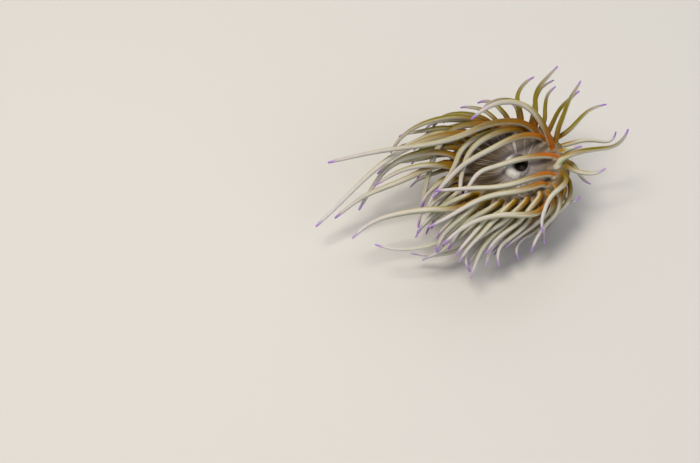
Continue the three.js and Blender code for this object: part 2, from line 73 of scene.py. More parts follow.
LIP_PLACE = (3.5, -1.2)  # the lip's middle, aside from the disc's own
LIP_STRETCH = 0.25
OPENING_PLACE = (1.9, 1.5)  # the opening, aside from the lip's middle
OPENING_STRETCH = 0.25
LEAN_BEARING = 218
LEAN_ANGLE = 8
LEAN_PIVOT = np.array([0.0, 0.0, 8.0])
GRAIN_SCALE = 10  # of the pattern along an arm or down the body, to a metre

# ---- rows of arm roots, as on the collar's solids
# The roots' radius and height, the arms' radius there, and how far below the inner row's lift they set out.
ROWS = {
    "inner": (20.1, 24.6, 1.25, 0),
    "middle": (22.4, 24.0, 1.15, 14),
    "outer": (24.6, 21.3, 1.02, 34),
}
SECTORS = 12
SECTOR_ANGLE = 360 / SECTORS
SECTOR_ROOTS = [("inner", 5), ("inner", 19), ("middle", 12), ("middle", 25)]
SECTOR_ROOTS += [("outer", 5), ("outer", 15), ("outer", 25)]

# For the middle of each sector from STREAM_FROM on: length, root's lift, then bearing and lift a third along
# and at the tip. The upper table serves the inner and middle rows.
STREAM_FROM = 2
UPPER_STREAM = [
    (15, 45, 120, 30, 150, 10),
    (30, 42, 172, 12, 222, -26),
    (32, 34, 180, 4, 208, -20),
    (33, 30, 186, -3, 205, -16),
    (20, 26, 210, -16, 230, -26),
    (30, 28, 212, -14, 226, -22),
    (37, 34, 214, -9, 236, -26),
    (38, 36, 222, -12, 238, -28),
]
LOWER_STREAM = [
    (13, 42, 100, 22, 120, 12),
    (22, 40, 165, 6, 205, -12),
    (24, 36, 180, 0, 208, -16),
    (18, 34, 195, -8, 218, -22),
    (16, 34, 215, -20, 238, -30),
    (23, 34, 216, -16, 236, -24),
    (30, 36, 216, -10, 238, -24),
    (31, 36, 222, -12, 248, -34),
]

# Arms posed one by one: the row and bearing of the root, the length, and the bearings and lifts of
# headings along it. The standing arms stand out from the crown. The joined arms lie in it.
STANDING_ARMS = [
    ("inner", 19, 48, (126, 131, 146, 188, 214), (62, 60, 42, 3, -26)),
    ("inner", 49, 94, (138, 182, 206, 190, 190), (60, 14, -6, -4, -4)),
    ("inner", 35, 60, (165, 190, 211, 217, 222), (48, 15, -7, -15, -24)),
    ("inner", 5, 46, (178, 184, 188, 191, 194, 198, 202, 254, 262), (36, 8, 1, -3, -5, -6, -8, -38, -38)),
    ("inner", 335, 53, (193, 209, 205, 179, 175), (50, 12, -2, -5, -5)),
    ("inner", 319, 56, (225, 212, 192, 207, 206), (40, 10, -2, -8, -13)),
    ("outer", 305, 52, (285, 222, 194, 195, 222), (26, 8, 5, -6, -20)),
    ("inner", 65, 55, (198, 188, 207, 257, 266), (42, 9, -6, -10, -22)),
    ("inner", 79, 53, (205, 195, 213, 258, 215), (42, 8, -8, -14, -20)),
    ("inner", 95, 67, (195, 186, 197, 233, 255, 265), (45, 10, -5, -18, -28, -36)),
    ("inner", 125, 85, (205, 190, 200, 215, 215, 226), (40, 16, -3, -11, -22, -20)),
    ("middle", 175, 57, (182, 190, 207, 202, 213), (24, 1, -12, -13, -22)),
    ("inner", 169, 55, (160, 170, 180, 186, 238, 234), (36, 22, -6, -15, -25, -22)),
    ("middle", 235, 58, (228, 212, 178, 192, 222), (29, 0, 4, -7, -24)),
]
JOINED_ARMS = [
    ("inner", 349, 38, (55, 30, 14, 18, 62), (45, 18, 0, -4, 32)),
    ("middle", 12, 10, (12, 18, 0), (30, 4, 12)),
    ("middle", 25, 34, (50, 82, 64, 66, 62), (48, 34, 14, 10, 12)),
    ("middle", 42, 37, (100, 128, 150, 168, 235), (58, 50, 26, 4, -20)),
    ("middle", 55, 35, (95, 92, 86, 60, 44), (58, 50, 10, 8, 18)),
    ("middle", 72, 26, (85, 94, 105, 64, 28), (52, 50, 22, 24, 0)),
    ("middle", 102, 33, (140, 162, 167, 184, 250), (45, 32, 7, -16, -26)),
    ("middle", 252, 39, (245, 222, 218, 212, 203), (22, -16, -16, -18, -17)),
    ("middle", 282, 41, (280, 236, 217, 227, 262), (20, -22, -14, -17, -26)),
    ("middle", 295, 35, (292, 250, 226, 213, 285), (15, -40, -20, -15, -22)),
    ("middle", 312, 32, (308, 252, 220, 212, 228), (15, -42, -26, -12, -22)),
    ("middle", 325, 32, (320, 262, 228, 232, 262), (15, -32, -24, -22, -24)),
    ("middle", 342, 35, (335, 290, 232, 222, 236, 300), (25, 5, -3, -4, -24, -34)),
    ("middle", 355, 20, (345, 314, 336, 352, 38), (25, -4, -8, 0, 28)),
    ("inner", 185, 38, (180, 170, 183, 193, 206), (28, 8, -5, -13, -20)),
    ("inner", 109, 51, (145, 170, 177, 203, 240), (50, 32, 0, -16, -18)),
    ("inner", 289, 46, (285, 246, 222, 211, 209, 315), (35, -6, -14, -15, -17, -30)),
    ("inner", 305, 39, (300, 264, 218, 214, 235), (35, -14, -18, -11, -20)),
    ("outer", 5, 15, (0, 320, 306, 303, 340), (0, -14, -18, -25, -15)),
    ("outer", 15, 8, (15, 15), (5, -2)),
    ("outer", 25, 27, (15, 8, 12, 2, 356, 80), (12, 10, 10, -2, -6, 50)),
    ("outer", 35, 30, (22, 18, 48, 42, 18), (25, 27, 13, 9, 0)),
    ("outer", 45, 27, (50, 62, 60, 54, 36), (22, 29, 15, 10, 8)),
    ("outer", 55, 24, (50, 44, 88, 84, 28), (25, 34, 26, 10, 9)),
    ("outer", 65, 28, (62, 72, 82, 62, 30), (25, 38, 17, 8, 4)),
    ("outer", 245, 53, (235, 225, 215, 195, 160), (10, -6, -10, -3, 15)),
    ("outer", 255, 42, (248, 212, 218, 190, 176), (-8, -32, -24, -14, 14)),
    ("outer", 285, 24, (278, 240, 226, 226, 225), (-12, -46, -24, -15, -16)),
    ("outer", 295, 27, (285, 226, 222, 212, 214), (-12, -48, -26, -14, -12)),
    ("outer", 315, 33, (300, 232, 218, 212, 290), (-12, -44, -18, -14, -20)),
    ("outer", 325, 30, (308, 226, 222, 222, 226), (-12, -46, -18, -10, -14)),
    ("outer", 335, 29, (322, 252, 226, 234, 246), (-14, -44, -28, -18, -6)),
    ("outer", 345, 34, (332, 254, 236, 222, 285), (-8, -30, -20, -16, -14)),
    ("outer", 355, 22, (342, 262, 250, 248, 275, 340, 75), (-8, -40, -36, -36, -25, 0, 30)),
]
HEADING_SPACING = 1.6  # power that draws an arm's headings towards its root
POINT_STEP = 2
TIP_GIRTH = 0.45
TAPER = 1.8
FAN_SWAY = 9
LENGTH_SPREAD = 0.12
FAN_WAVE = 9
POSED_WAVE = 5
STANDING_GIRTH = 1.42
WAVES = 1.4
WAVES_FROM = 0.4
HOOK = (0.1, 0.8)
HOOK_FROM = 0.8
POSED_EASE = 0.3


# ---- small helpers
class Draws:
    """Seeded shares between 0 and 1, in a fixed order."""

    def __init__(self, seed):
        self.seed = seed

    def share(self):
        self.seed = (self.seed * 1664525 + 1013904223) % 4294967296
        return self.seed / 4294967296

    def spread(self, amount):
        return amount * (2 * self.share() - 1)


def eased(x, low, high):
    x = np.clip((np.asarray(x, float) - low) / (high - low), 0, 1)
    return x * x * (3 - 2 * x)


def unit(vectors):
    return vectors / np.maximum(np.linalg.norm(vectors, axis=-1, keepdims=True), 1e-12)


def heading(bearing, lift=0.0):
    b, up = math.radians(bearing), math.radians(lift)
    return np.array([math.cos(up) * math.cos(b), math.cos(up) * math.sin(b), math.sin(up)])


def extended(points):
    """A line of points, with one more past each end."""
    return np.vstack([2 * points[0] - points[1], points, 2 * points[-1] - points[-2]])


def along_line(points):
    """Distances along a line of points."""
    return np.concatenate([[0], np.cumsum(np.linalg.norm(np.diff(points, axis=0), axis=1))])


def leaned(points, share=1.0):
    """Points in the crown's tilt, which grows from the foot to the column's top."""
    points = np.asarray(points, float)
    turn = share * math.radians(LEAN_ANGLE) * eased(points[..., 2:], FOOT_TOP, COLUMN_TOP)
    axis = heading(LEAN_BEARING + 90)
    arm = points - LEAN_PIVOT
    along = (arm @ axis)[..., None] * axis
    return LEAN_PIVOT + arm * np.cos(turn) + np.cross(axis, arm) * np.sin(turn) + along * (1 - np.cos(turn))


# ---- arms: routes
def stream_at(table, bearing):
    """A stream table's values at a bearing."""
    place = bearing / SECTOR_ANGLE - 0.5 - STREAM_FROM
    low = int(place)
    return [x + (y - x) * (place - low) for x, y in zip(table[low], table[low + 1])]


def direction_at(headings, t):
    place = t ** (1 / HEADING_SPACING) * (len(headings) - 1)
    low = min(int(place), len(headings) - 2)
    a, b = heading(*headings[low]), heading(*headings[low + 1])
    return unit(a + (b - a) * (place - low))


def grow(draws, row, bearing, length, headings, wave, hook, ease):
    radius, height, girth, _ = ROWS[row]
    point = leaned(np.array([*(radius * heading(bearing)[:2]), height]))
    steps = int(length / POINT_STEP + 0.5)
    phase = 2 * math.pi * draws.share()
    points = [point]
    for i in range(steps):
        t = (i + 0.5) / steps
        along = direction_at(headings, t)
        side = unit(np.array([-along[1], along[0], 0]))
        swing = math.radians(wave) * math.sin(phase + 2 * math.pi * WAVES * t) * eased(t, 0, WAVES_FROM)
        along = along + side * swing
        along[2] -= hook * eased(t, HOOK_FROM, 1)
        point = point + unit(along) * (length / steps)
        points.append(point)
    return {"row": row, "bearing": bearing, "girth": girth, "ease": ease, "points": np.array(points)}


def fan_arm(draws, row, bearing):
    table = LOWER_STREAM if row == "outer" else UPPER_STREAM
    length, root_lift, mid_bearing, mid_lift, tip_bearing, tip_lift = stream_at(table, bearing)
    headings = [(bearing, root_lift - ROWS[row][3])]
    headings.append((mid_bearing + draws.spread(FAN_SWAY), mid_lift + draws.spread(FAN_SWAY)))
    headings.append((tip_bearing + draws.spread(FAN_SWAY) * 2, tip_lift + draws.spread(FAN_SWAY)))
    hook = HOOK[0] + (HOOK[1] - HOOK[0]) * draws.share()
    length *= 1 + draws.spread(LENGTH_SPREAD)
    return grow(draws, row, bearing, length, headings, FAN_WAVE, hook, 1.0)


def grown_arms():
    draws = Draws(20260)
    posed_arms = STANDING_ARMS + JOINED_ARMS
    arms = [grow(draws, *arm[:3], list(zip(*arm[3:])), POSED_WAVE, 0, POSED_EASE) for arm in posed_arms]
    for arm in arms[: len(STANDING_ARMS)]:
        arm["girth"] = STANDING_GIRTH
    posed = {arm[:2] for arm in posed_arms}
    for sector in range(SECTORS):
        for row, offset in SECTOR_ROOTS:
            bearing = sector * SECTOR_ANGLE + offset
            if (row, bearing) not in posed:
                arms.append(fan_arm(draws, row, bearing))
    return arms


# ---- arms: settling
# The arms are pushed apart and off body and floor, and bend smoothly as they give way.
SKIN_GAP = 0.34
GIRTH_ROOM = 1.12
FLOOR_ROOM = 1.6
STIFF_ROOT, FREE_FROM = 3, 13
ROUNDS = 200
LOOK_AGAIN = 8
LOOK_ROOM = 3
SMOOTHING = (0.5, 0.12)
PUSH_SHARE = 0.4
BODY_PUSH_SHARE = 0.5
FULL_CROSSING = 0.77
BODY_HEIGHTS = (0, 3, 9, 17, COLLAR_CORE[1])
BODY_RADII = (FOOT_RADIUS, 20, WAIST_RADIUS, 20.5, CROWN_RADIUS)


def arm_radius(girth, t):
    return girth * (1 + (TIP_GIRTH - 1) * np.power(t, TAPER))


def push_apart(at, along, room, ease, i, j):
    """Overlapping beads part along their line, or along the common normal where their arms cross."""
    gap = at[i] - at[j]
    bite = room[i] + room[j] - np.linalg.norm(gap, axis=1)
    near = bite > 0
    i, j, way, bite = i[near], j[near], unit(gap[near]), bite[near]
    normal = np.cross(along[i], along[j])
    crossing = np.minimum(1, np.linalg.norm(normal, axis=1) / FULL_CROSSING)
    side = np.sign((normal * way).sum(1))
    normal = unit(normal) * np.where(side == 0, 1, side)[:, None]
    way = unit(way + (normal - way) * (crossing**2)[:, None])
    scale = way * (bite / (ease[i] + ease[j]))[:, None]
    pushes = np.zeros_like(at)
    np.add.at(pushes, i, scale * ease[i, None])
    np.add.at(pushes, j, -scale * ease[j, None])
    return pushes


def keep_off_body(at, room, ease):
    """The body is a wall of revolution, with a round rim and a flat disc inside it."""
    q = leaned(at, -1)
    out = np.hypot(q[:, 0], q[:, 1])
    over_rim, above_core = out - COLLAR_CORE[0], q[:, 2] - COLLAR_CORE[1]
    away = np.hypot(over_rim, above_core)
    wall = np.maximum(0, np.interp(q[:, 2], BODY_HEIGHTS, BODY_RADII) + room - out)
    top = np.maximum(0, COLLAR_TOP + room - q[:, 2])
    rim = np.maximum(0, CROWN_RADIUS - COLLAR_CORE[0] + room - away)
    outward = np.where(above_core < 0, wall, np.where(over_rim < 0, 0, rim * over_rim / away))
    upward = np.where(above_core < 0, 0, np.where(over_rim < 0, top, rim * above_core / away))
    share = BODY_PUSH_SHARE * np.minimum(1, ease * 2)
    moved = at.copy()
    moved[:, :2] += (share * outward / out)[:, None] * q[:, :2]
    moved[:, 2] = np.maximum(moved[:, 2] + share * upward, FLOOR_ROOM + room)
    return np.where(ease[:, None] > 0, moved, at)


def settle(arms):
    counts = [len(arm["points"]) for arm in arms]
    owner = np.repeat(np.arange(len(arms)), counts)
    place = np.concatenate([np.arange(n) for n in counts])
    last = np.repeat(counts, counts) - 1
    girth = np.array([arm["girth"] for arm in arms])[owner]
    home = np.concatenate([arm["points"] for arm in arms])
    room = arm_radius(girth, place / last) * GIRTH_ROOM + SKIN_GAP
    ease = np.array([arm["ease"] for arm in arms])[owner]
    ease *= eased(place * POINT_STEP, STIFF_ROOT, FREE_FROM)
    index = np.arange(len(home))
    before, after = index - (place > 0), index + (place < last)
    at = home.copy()
    for k in range(ROUNDS):
        if k % LOOK_AGAIN == 0:
            apart = np.linalg.norm(at[:, None] - at[None], axis=2) - room[:, None] - room[None]
            may = (apart < LOOK_ROOM) & (owner[:, None] != owner[None]) & (ease[:, None] + ease[None] > 0)
            i, j = np.nonzero(np.triu(may))
            along = unit(at[after] - at[before])
        at = at + push_apart(at, along, room, ease, i, j) * PUSH_SHARE
        at = keep_off_body(at, room, ease)
        shift = at - home
        mean = (shift[before] + shift[after]) / 2
        share = SMOOTHING[0] + (SMOOTHING[1] - SMOOTHING[0]) * k / ROUNDS
        at = np.where(ease[:, None] > 0, at + (mean - shift) * share, at)
    for arm, end in zip(arms, np.cumsum(counts)):
        arm["points"] = at[end - len(arm["points"]) : end]
    return arms


# ---- arms: paths for the skin
ROOT_DEPTH = 2.4  # how deep an arm's tube starts inside the collar,
SEAT_DROP = 0.8  # towards a line this far below the collar's core
PATH_STEP = 1.05
FINE_STEP = 0.42  # near the root
TIP_STEP = 0.2
ROOT_STRETCH = 3.0  # of an arm, measured from its root, that has the fine step
TIP_STRETCH = 1.0
SPLINE_POINTS = 8  # from one of a route's points to the next


def smooth_route(points):
    """A cubic B-spline's close points and their distances along it, with the route's ends kept."""
    held = extended(points)
    t = np.linspace(0, 1, SPLINE_POINTS + 1)[:-1, None]
    weights = ((1 - t) ** 3, 3 * t**3 - 6 * t**2 + 4, -3 * t**3 + 3 * t**2 + 3 * t + 1, t**3)
    spans = [sum(w * held[k + n] for n, w in enumerate(weights)) / 6 for k in range(len(points) - 1)]
    close = np.vstack([*spans, points[-1:]])
    return close, along_line(close)


def stations(length):
    """Distances along an arm, negative inside the collar, closer at the root and the tip."""
    root = np.arange(-ROOT_DEPTH, ROOT_STRETCH, FINE_STEP)
    tip = length - np.arange(0, TIP_STRETCH, TIP_STEP)[::-1]
    middle = np.linspace(root[-1], tip[0], max(2, round((tip[0] - root[-1]) / PATH_STEP)) + 1)
    return np.concatenate([root, middle[1:-1], tip])


def arm_route(arm):
    """The points of an arm's path, their distances along it, and its length."""
    close, distance = smooth_route(arm["points"])
    at = stations(distance[-1])
    route = np.stack([np.interp(at, distance, close[:, k]) for k in range(3)], axis=1)
    home = leaned(arm["points"][:1], -1)[0]
    core = leaned(np.array([*(unit(home[:2]) * COLLAR_CORE[0]), COLLAR_CORE[1] - SEAT_DROP]))
    inside = at < 0
    route[inside] = arm["points"][0] - at[inside, None] * unit(core - arm["points"][0])
    return route, at, distance[-1]


# ---- arms: pigments
# By a root's bearing: how orange it is, and how far olive algae reach round the arm, there and outwards.
STANDING_PIGMENTS = (
    [(0, 1), (35, 1), (70, 0.6), (200, 0.2), (290, 0.6), (320, 1), (360, 1)],
    [(50, 0.25), (65, 0.6), (125, 0.6), (150, 0.25)],
    [(50, 0), (65, 0.25), (125, 0.25), (150, 0)],
)
JOINED_PIGMENTS = (
    [(0, 0.15), (30, 0.2), (60, 0.5), (110, 0.35), (200, 0.1), (260, 0.1), (290, 0.35), (325, 0.35)]
    + [(345, 0)],
    [(0, 0.5), (30, 0.7), (75, 0.9), (110, 0.6), (150, 0.5), (200, 0.5), (250, 0.7), (320, 0.8)],
    [(0, 0.2), (40, 1), (75, 1), (130, 0.7), (180, 0.3), (230, 0), (320, 0)],
)
PALE_GREEN = (-0.2, -0.3)
GREEN_APART = {("middle", 12): PALE_GREEN, ("outer", 15): PALE_GREEN, ("outer", 25): PALE_GREEN}
GREEN_APART |= {("inner", 349): (-0.8, 0.9), ("inner", 19): (0.5, 0.2)}
GREEN_OUTWARDS = (0.05, 0.5)  # shares of an arm over which its olive changes
# On the arms hanging in front the olive side is turned down, away from the light, so their olive undersides
# are partly painted shade.
ARCH_SIDE = np.array([0.85, 0.2, 0.35])  # the olive side of the first arm,
FAR_SIDE = np.array([0.1, 0.7, 0.72])  # of the arms that stream over the crown,
LOW_OLIVE_AND_SHADE_SIDE = np.array([0.55, -0.25, -0.55])  # and of those hanging in front of it
FRONT = 270  # bearing of the crown's front,
FRONT_EDGE = (90, 40)  # and the angles from it over which joined arms turn from far to low
SIDE_SPREAD = 0.25
WARMTH_SPREAD = 0.3
LILAC, LILAC_SPREAD = 0.75, 0.25


def pigments(draws, number, arm, share):
    """What the skin's colours need to know of an arm."""
    bearing = arm["bearing"]
    standing = number < len(STANDING_ARMS)
    tables = STANDING_PIGMENTS if standing else JOINED_PIGMENTS
    warmth, *greens = (float(np.interp(bearing, *zip(*table), period=360)) for table in tables)
    green_root, green_out = GREEN_APART.get((arm["row"], bearing), greens)
    low = eased(abs((bearing - FRONT + 180) % 360 - 180), *FRONT_EDGE) * (not standing)
    side = ARCH_SIDE if number == 0 else FAR_SIDE * (1 - low) + LOW_OLIVE_AND_SHADE_SIDE * low
    side = unit(side + [draws.spread(SIDE_SPREAD) for _ in range(3)])
    return {
        "green": green_root + (green_out - green_root) * eased(share, *GREEN_OUTWARDS),
        "warmth": warmth * (1 + draws.spread(WARMTH_SPREAD)),
        "lilac": LILAC + draws.spread(LILAC_SPREAD),
        "hue": draws.spread(1),
        **{f"side_{axis}": side[k] for k, axis in enumerate("xyz")},
    }


def arm_paths(arms):
    """Points and edges of the arms' open paths, and the values that tubes and skin need there."""
    draws = Draws(77)
    points, edges, stored = [], [], {}
    for number, arm in enumerate(arms):
        route, at, length = arm_route(arm)
        start = sum(map(len, points))
        points.append(route)
        edges += [(start + k, start + k + 1) for k in range(len(at) - 1)]
        share = np.clip(at / length, 0, 1)
        values = {
            "number": number,
            "girth": arm["girth"] * MM,
            "share": share,
            "from_root": at * MM,
            "to_tip": (length - at) * MM,
            **{f"centre_{axis}": route[:, k] * MM for k, axis in enumerate("xyz")},
            **pigments(draws, number, arm, share),
        }
        for name, value in values.items():
            stored.setdefault(name, []).append(np.broadcast_to(value, len(at)))
    return np.vstack(points) * MM, edges, {name: np.concatenate(value) for name, value in stored.items()}


# ---- meshes and attributes
def new_object(name, mesh):
    thing = bpy.data.objects.new(name, mesh)
    bpy.context.scene.collection.objects.link(thing)
    return thing


def new_mesh(name, points, edges=(), faces=()):
    mesh = bpy.data.meshes.new(name)
    mesh.from_pydata(np.asarray(points).tolist(), list(edges), list(faces))
    mesh.update()
    return mesh


def store(mesh, name, values):
    values = np.asarray(values, np.float32)
    old = mesh.attributes.get(name)
    if old:
        mesh.attributes.remove(old)
    vector = values.ndim == 2
    attribute = mesh.attributes.new(name, "FLOAT_VECTOR" if vector else "FLOAT", "POINT")
    attribute.data.foreach_set("vector" if vector else "value", values.ravel())


def read(items, name, width=1, kind=np.int32):
    """A named value of every item, in rows where it has a width."""
    found = np.zeros(len(items) * width, kind)
    items.foreach_get(name, found)
    return found.reshape(-1, width) if width > 1 else found


def stored(mesh, name):
    attribute = mesh.attributes[name]
    vector = attribute.data_type == "FLOAT_VECTOR"
    return read(attribute.data, *(("vector", 3) if vector else ("value", 1)), np.float32)


def places(mesh):
    return read(mesh.vertices, "co", 3, np.float32).astype(float)


def as_modified(holder):
    """A plain mesh of an object as its modifiers leave it."""
    ready = bpy.context.evaluated_depsgraph_get()
    result = holder.evaluated_get(ready)
    return bpy.data.meshes.new_from_object(result, preserve_all_data_layers=True, depsgraph=ready)


# ---- node trees
def add_node(tree, kind, inputs=None, output=0, **settings):
    """Adds a node with its settings, sets or links its inputs, and gives one of its outputs."""
    node = tree.nodes.new(kind)
    for name, value in settings.items():
        setattr(node, name, value)
    for socket, value in (inputs or {}).items():
        if isinstance(value, bpy.types.NodeSocket):
            tree.links.new(value, node.inputs[socket])
        else:
            node.inputs[socket].default_value = value
    return node.outputs[output] if node.outputs else None


def made_by(build, name, source, sizes):
    """The plain mesh that a Geometry Nodes tree, with named inputs for its sizes, makes from a mesh."""
    tree = bpy.data.node_groups.new(name, "GeometryNodeTree")
    kinds = {int: "Int", float: "Float", bpy.types.Material: "Material"}
    tree.interface.new_socket("Geometry", in_out="INPUT", socket_type="NodeSocketGeometry")
    for label, value in sizes.items():
        tree.interface.new_socket(label, in_out="INPUT", socket_type="NodeSocket" + kinds[type(value)])
    tree.interface.new_socket("Geometry", in_out="OUTPUT", socket_type="NodeSocketGeometry")
    size = tree.nodes.new("NodeGroupInput").outputs
    add = partial(add_node, tree)
    real = add("GeometryNodeRealizeInstances", {"Geometry": build(add, size)})
    worn = add("GeometryNodeSetMaterial", {"Geometry": real, "Material": size["Skin"]})
    add("NodeGroupOutput", {0: worn})
    holder = new_object(name, source)
    modifier = holder.modifiers.new(name, "NODES")
    modifier.node_group = tree
    for item in tree.interface.items_tree:
        if item.in_out == "INPUT" and item.name in sizes:
            modifier[item.identifier] = sizes[item.name]
    mesh = as_modified(holder)
    bpy.data.objects.remove(holder)
    return mesh


# ---- arms: tubes
LUMP_LENGTH = 100 / 17
LEAST_ROUNDNESS = 0.004  # square of the share of its radius that a tip keeps at its end


def arm_tube_radius(add, size, at):
    """An arm's radius, from what its points hold."""
    # tapered
    taper = add("ShaderNodeMath", {0: at["share"], 1: size["Taper"]}, operation="POWER")
    loss = add("ShaderNodeMath", {0: 1.0, 1: size["Tip girth"]}, operation="SUBTRACT")
    lost = add("ShaderNodeMath", {0: loss, 1: taper}, operation="MULTIPLY")
    tapered = add("ShaderNodeMath", {0: 1.0, 1: lost}, operation="SUBTRACT")
    # flared into the collar
    outside = add("ShaderNodeMath", {0: at["from_root"], 1: 0.0}, operation="MAXIMUM")
    reaches = add("ShaderNodeMath", {0: outside, 1: size["Flare reach"]}, operation="DIVIDE")
    fall = add("ShaderNodeMath", {0: reaches, 1: -1.0}, operation="MULTIPLY")
    fade = add("ShaderNodeMath", {0: fall}, operation="EXPONENT")
    flared = add("ShaderNodeMath", {0: size["Root flare"], 1: fade, 2: 1.0}, operation="MULTIPLY_ADD")
    # slimmed before the tip
    slimmest = add("ShaderNodeMath", {0: 1.0, 1: size["Tip slimming"]}, operation="SUBTRACT")
    span = {"Value": at["to_tip"], "From Max": size["Slim reach"], "To Min": slimmest}
    slimmed = add("ShaderNodeMapRange", span, interpolation_type="SMOOTHSTEP")
    # rounded at the tip
    beyond = add("ShaderNodeMath", {0: at["to_tip"], 1: size["Tip roundness"]}, operation="DIVIDE")
    short = add("ShaderNodeMath", {0: 1.0, 1: beyond}, operation="SUBTRACT", use_clamp=True)
    squared = add("ShaderNodeMath", {0: short, 1: short}, operation="MULTIPLY")
    left = add("ShaderNodeMath", {0: 1.0, 1: squared}, operation="SUBTRACT")
    some = add("ShaderNodeMath", {0: left, 1: LEAST_ROUNDNESS}, operation="MAXIMUM")
    rounded = add("ShaderNodeMath", {0: some}, operation="SQRT")
    # soft lumps, other ones for each arm
    pattern = {"Scale": 1 / (LUMP_LENGTH * MM), "Detail": 2.0, "W": at["number"]}
    lumps = add("ShaderNodeTexNoise", pattern, noise_dimensions="4D")
    swing = add("ShaderNodeMath", {0: lumps, 1: 0.5}, operation="SUBTRACT")
    uneven = add("ShaderNodeMath", {0: swing, 1: size["Unevenness"], 2: 1.0}, operation="MULTIPLY_ADD")
    radius = at["girth"]
    for factor in (tapered, flared, slimmed, rounded, uneven):
        radius = add("ShaderNodeMath", {0: radius, 1: factor}, operation="MULTIPLY")
    return radius


def build_arm_tubes(add, size):
    """Sweeps a round section along each path."""
    names = ("number", "girth", "share", "from_root", "to_tip", "radius")
    at = {name: add("GeometryNodeInputNamedAttribute", {"Name": name}, data_type="FLOAT") for name in names}
    paths = add("GeometryNodeMeshToCurve", {"Mesh": size["Geometry"]})
    sized = {"Curve": paths, "Radius": arm_tube_radius(add, size, at)}
    sized = add("GeometryNodeSetCurveRadius", sized)
    circle = add("GeometryNodeCurvePrimitiveCircle", {"Resolution": size["Sides"], "Radius": 1.0})
    around = add("GeometryNodeSplineParameter", output="Factor")
    turned = {"Geometry": circle, "Name": "turn", "Value": around}
    turned = add("GeometryNodeStoreNamedAttribute", turned, data_type="FLOAT", domain="POINT")
    swept = {"Curve": sized, "Profile Curve": turned, "Scale": at["radius"], "Fill Caps": True}
    tubes = add("GeometryNodeCurveToMesh", swept)
    return add("GeometryNodeSetShadeSmooth", {"Geometry": tubes})


# ---- body
AROUND = 288
# The outline from the gullet's bottom over lip, disc and collar, down the column and under the foot: radius,
# height, and the spacing of rings up to the next point.
OUTLINE = [
    (0.0, 17.6, 0.9), (1.6, 17.7, 0.9), (2.3, 19.5, 0.8), (2.5, 22.0, 0.6),
    (2.8, 23.5, 0.3), (3.6, 24.6, 0.3), (4.4, 25.0, 0.3), (5.1, 24.5, 0.3),
    (5.6, 23.6, 0.35), (6.8, 23.0, 0.5), (9.5, 22.6, 0.6), (14.0, 22.85, 0.5),
    (17.0, 23.5, 0.45), (18.6, 24.1, 0.4), (20.2, 24.75, 0.45), (22.6, 24.75, 0.45),
    (24.4, 23.4, 0.45), (25.1, 21.4, 0.5), (23.8, 19.0, 0.6), (20.9, 17.3, 0.8),
    (19.2, 15.0, 0.9), (18.1, 12.3, 1.0), (17.6, 9.5, 1.0), (18.0, 6.2, 0.9),
    (19.1, 3.4, 0.6), (19.9, 2.7, 0.5), (21.1, 2.0, 0.4), (21.75, 1.0, 0.3),
    (21.55, 0.3, 0.3), (21.0, 0.0, 0.5), (20.0, 0.0, 4.0), (10.0, 0.0, 5.0),
    (0.0, 0.0, 5.0),
]
TOP_ABOVE = 20  # height that parts the crown's top from the body's wall
# Relief: how high or deep, how wide or how many, and the spans of radius or height where it comes and goes.
RIDGES = (0.5, 1.25, (13.5, 19.5), (24, 20.5))  # from the inner arms onto the disc
VALLEYS = (0.22, (14, 18.5), (23, 20))  # between them
SWELLINGS = (0.3, 1.5, (17.4, 20.6), (24, 22))  # under the outer arms
FURROWS = (0.16, 48, (3, 5.5), (18, 15))  # down the column
LOBES_OVER = (6, 2)
LIP_FOLDS = (0.12, 18, (1.6, 3.6), (6.8, 5.0))
LIP_FOLD_WANDER = 0.6
LIP_TILT, LIP_TILT_BEARING, LIP_SINK = 0.45, 200, 0.15  # it is highest on its left and front
GULLET_FOLDS = (0.09, 9, 1.5, 2)  # from this far past the mouth's edge to this far from the bottom
GULLET_REACH = 3


def outline_rings():
    """Rings of the body: radius, height and the distance along the outline from the gullet's bottom."""
    corners = np.array([(r, z) for r, z, _ in OUTLINE])
    held = extended(corners)
    rings = []
    for k in range(len(corners) - 1):
        a, b, c, d = held[k : k + 4]
        count = max(1, round(np.linalg.norm(c - b) / OUTLINE[k][2]))
        for t in np.arange(count) / count:
            bend = (c - a) * t + (2 * a - 5 * b + 4 * c - d) * t**2 + (3 * b - a - 3 * c + d) * t**3
            rings.append(b + 0.5 * bend)
    rings = np.vstack([rings, corners[-1:]])
    rings[:, 1] = np.maximum(rings[:, 1], 0)
    return rings[:, 0], rings[:, 1], along_line(rings)


def humps(bearing, radius, at, width):
    """Round-topped humps at the given bearings, of a width in millimetres."""
    total = np.zeros(np.broadcast(bearing, radius).shape)
    for place in at:
        away = (np.degrees(bearing) - place + 180) % 360 - 180
        total += np.exp(-((np.radians(away) * radius / width) ** 2))
    return total


def between(x, rise, fall):
    """1 between two spans, over which it rises from 0 and falls to 0."""
    return eased(x, *rise) * eased(x, *fall)


def set_aside(r, b, z, on_crown):
    """Places on the body, with the lip and its opening set aside from the disc's middle."""
    near = eased(r, DISC_RADIUS, LIP_RADIUS) * on_crown
    inside = eased(r, LIP_RADIUS, MOUTH_RADIUS) * on_crown
    longer = 1 + LIP_STRETCH * near + OPENING_STRETCH * inside
    x = r * np.cos(b) + LIP_PLACE[0] * near + OPENING_PLACE[0] * inside
    y = r * np.sin(b) * longer + LIP_PLACE[1] * near + OPENING_PLACE[1] * inside
    return np.stack([x, y, z], axis=-1)


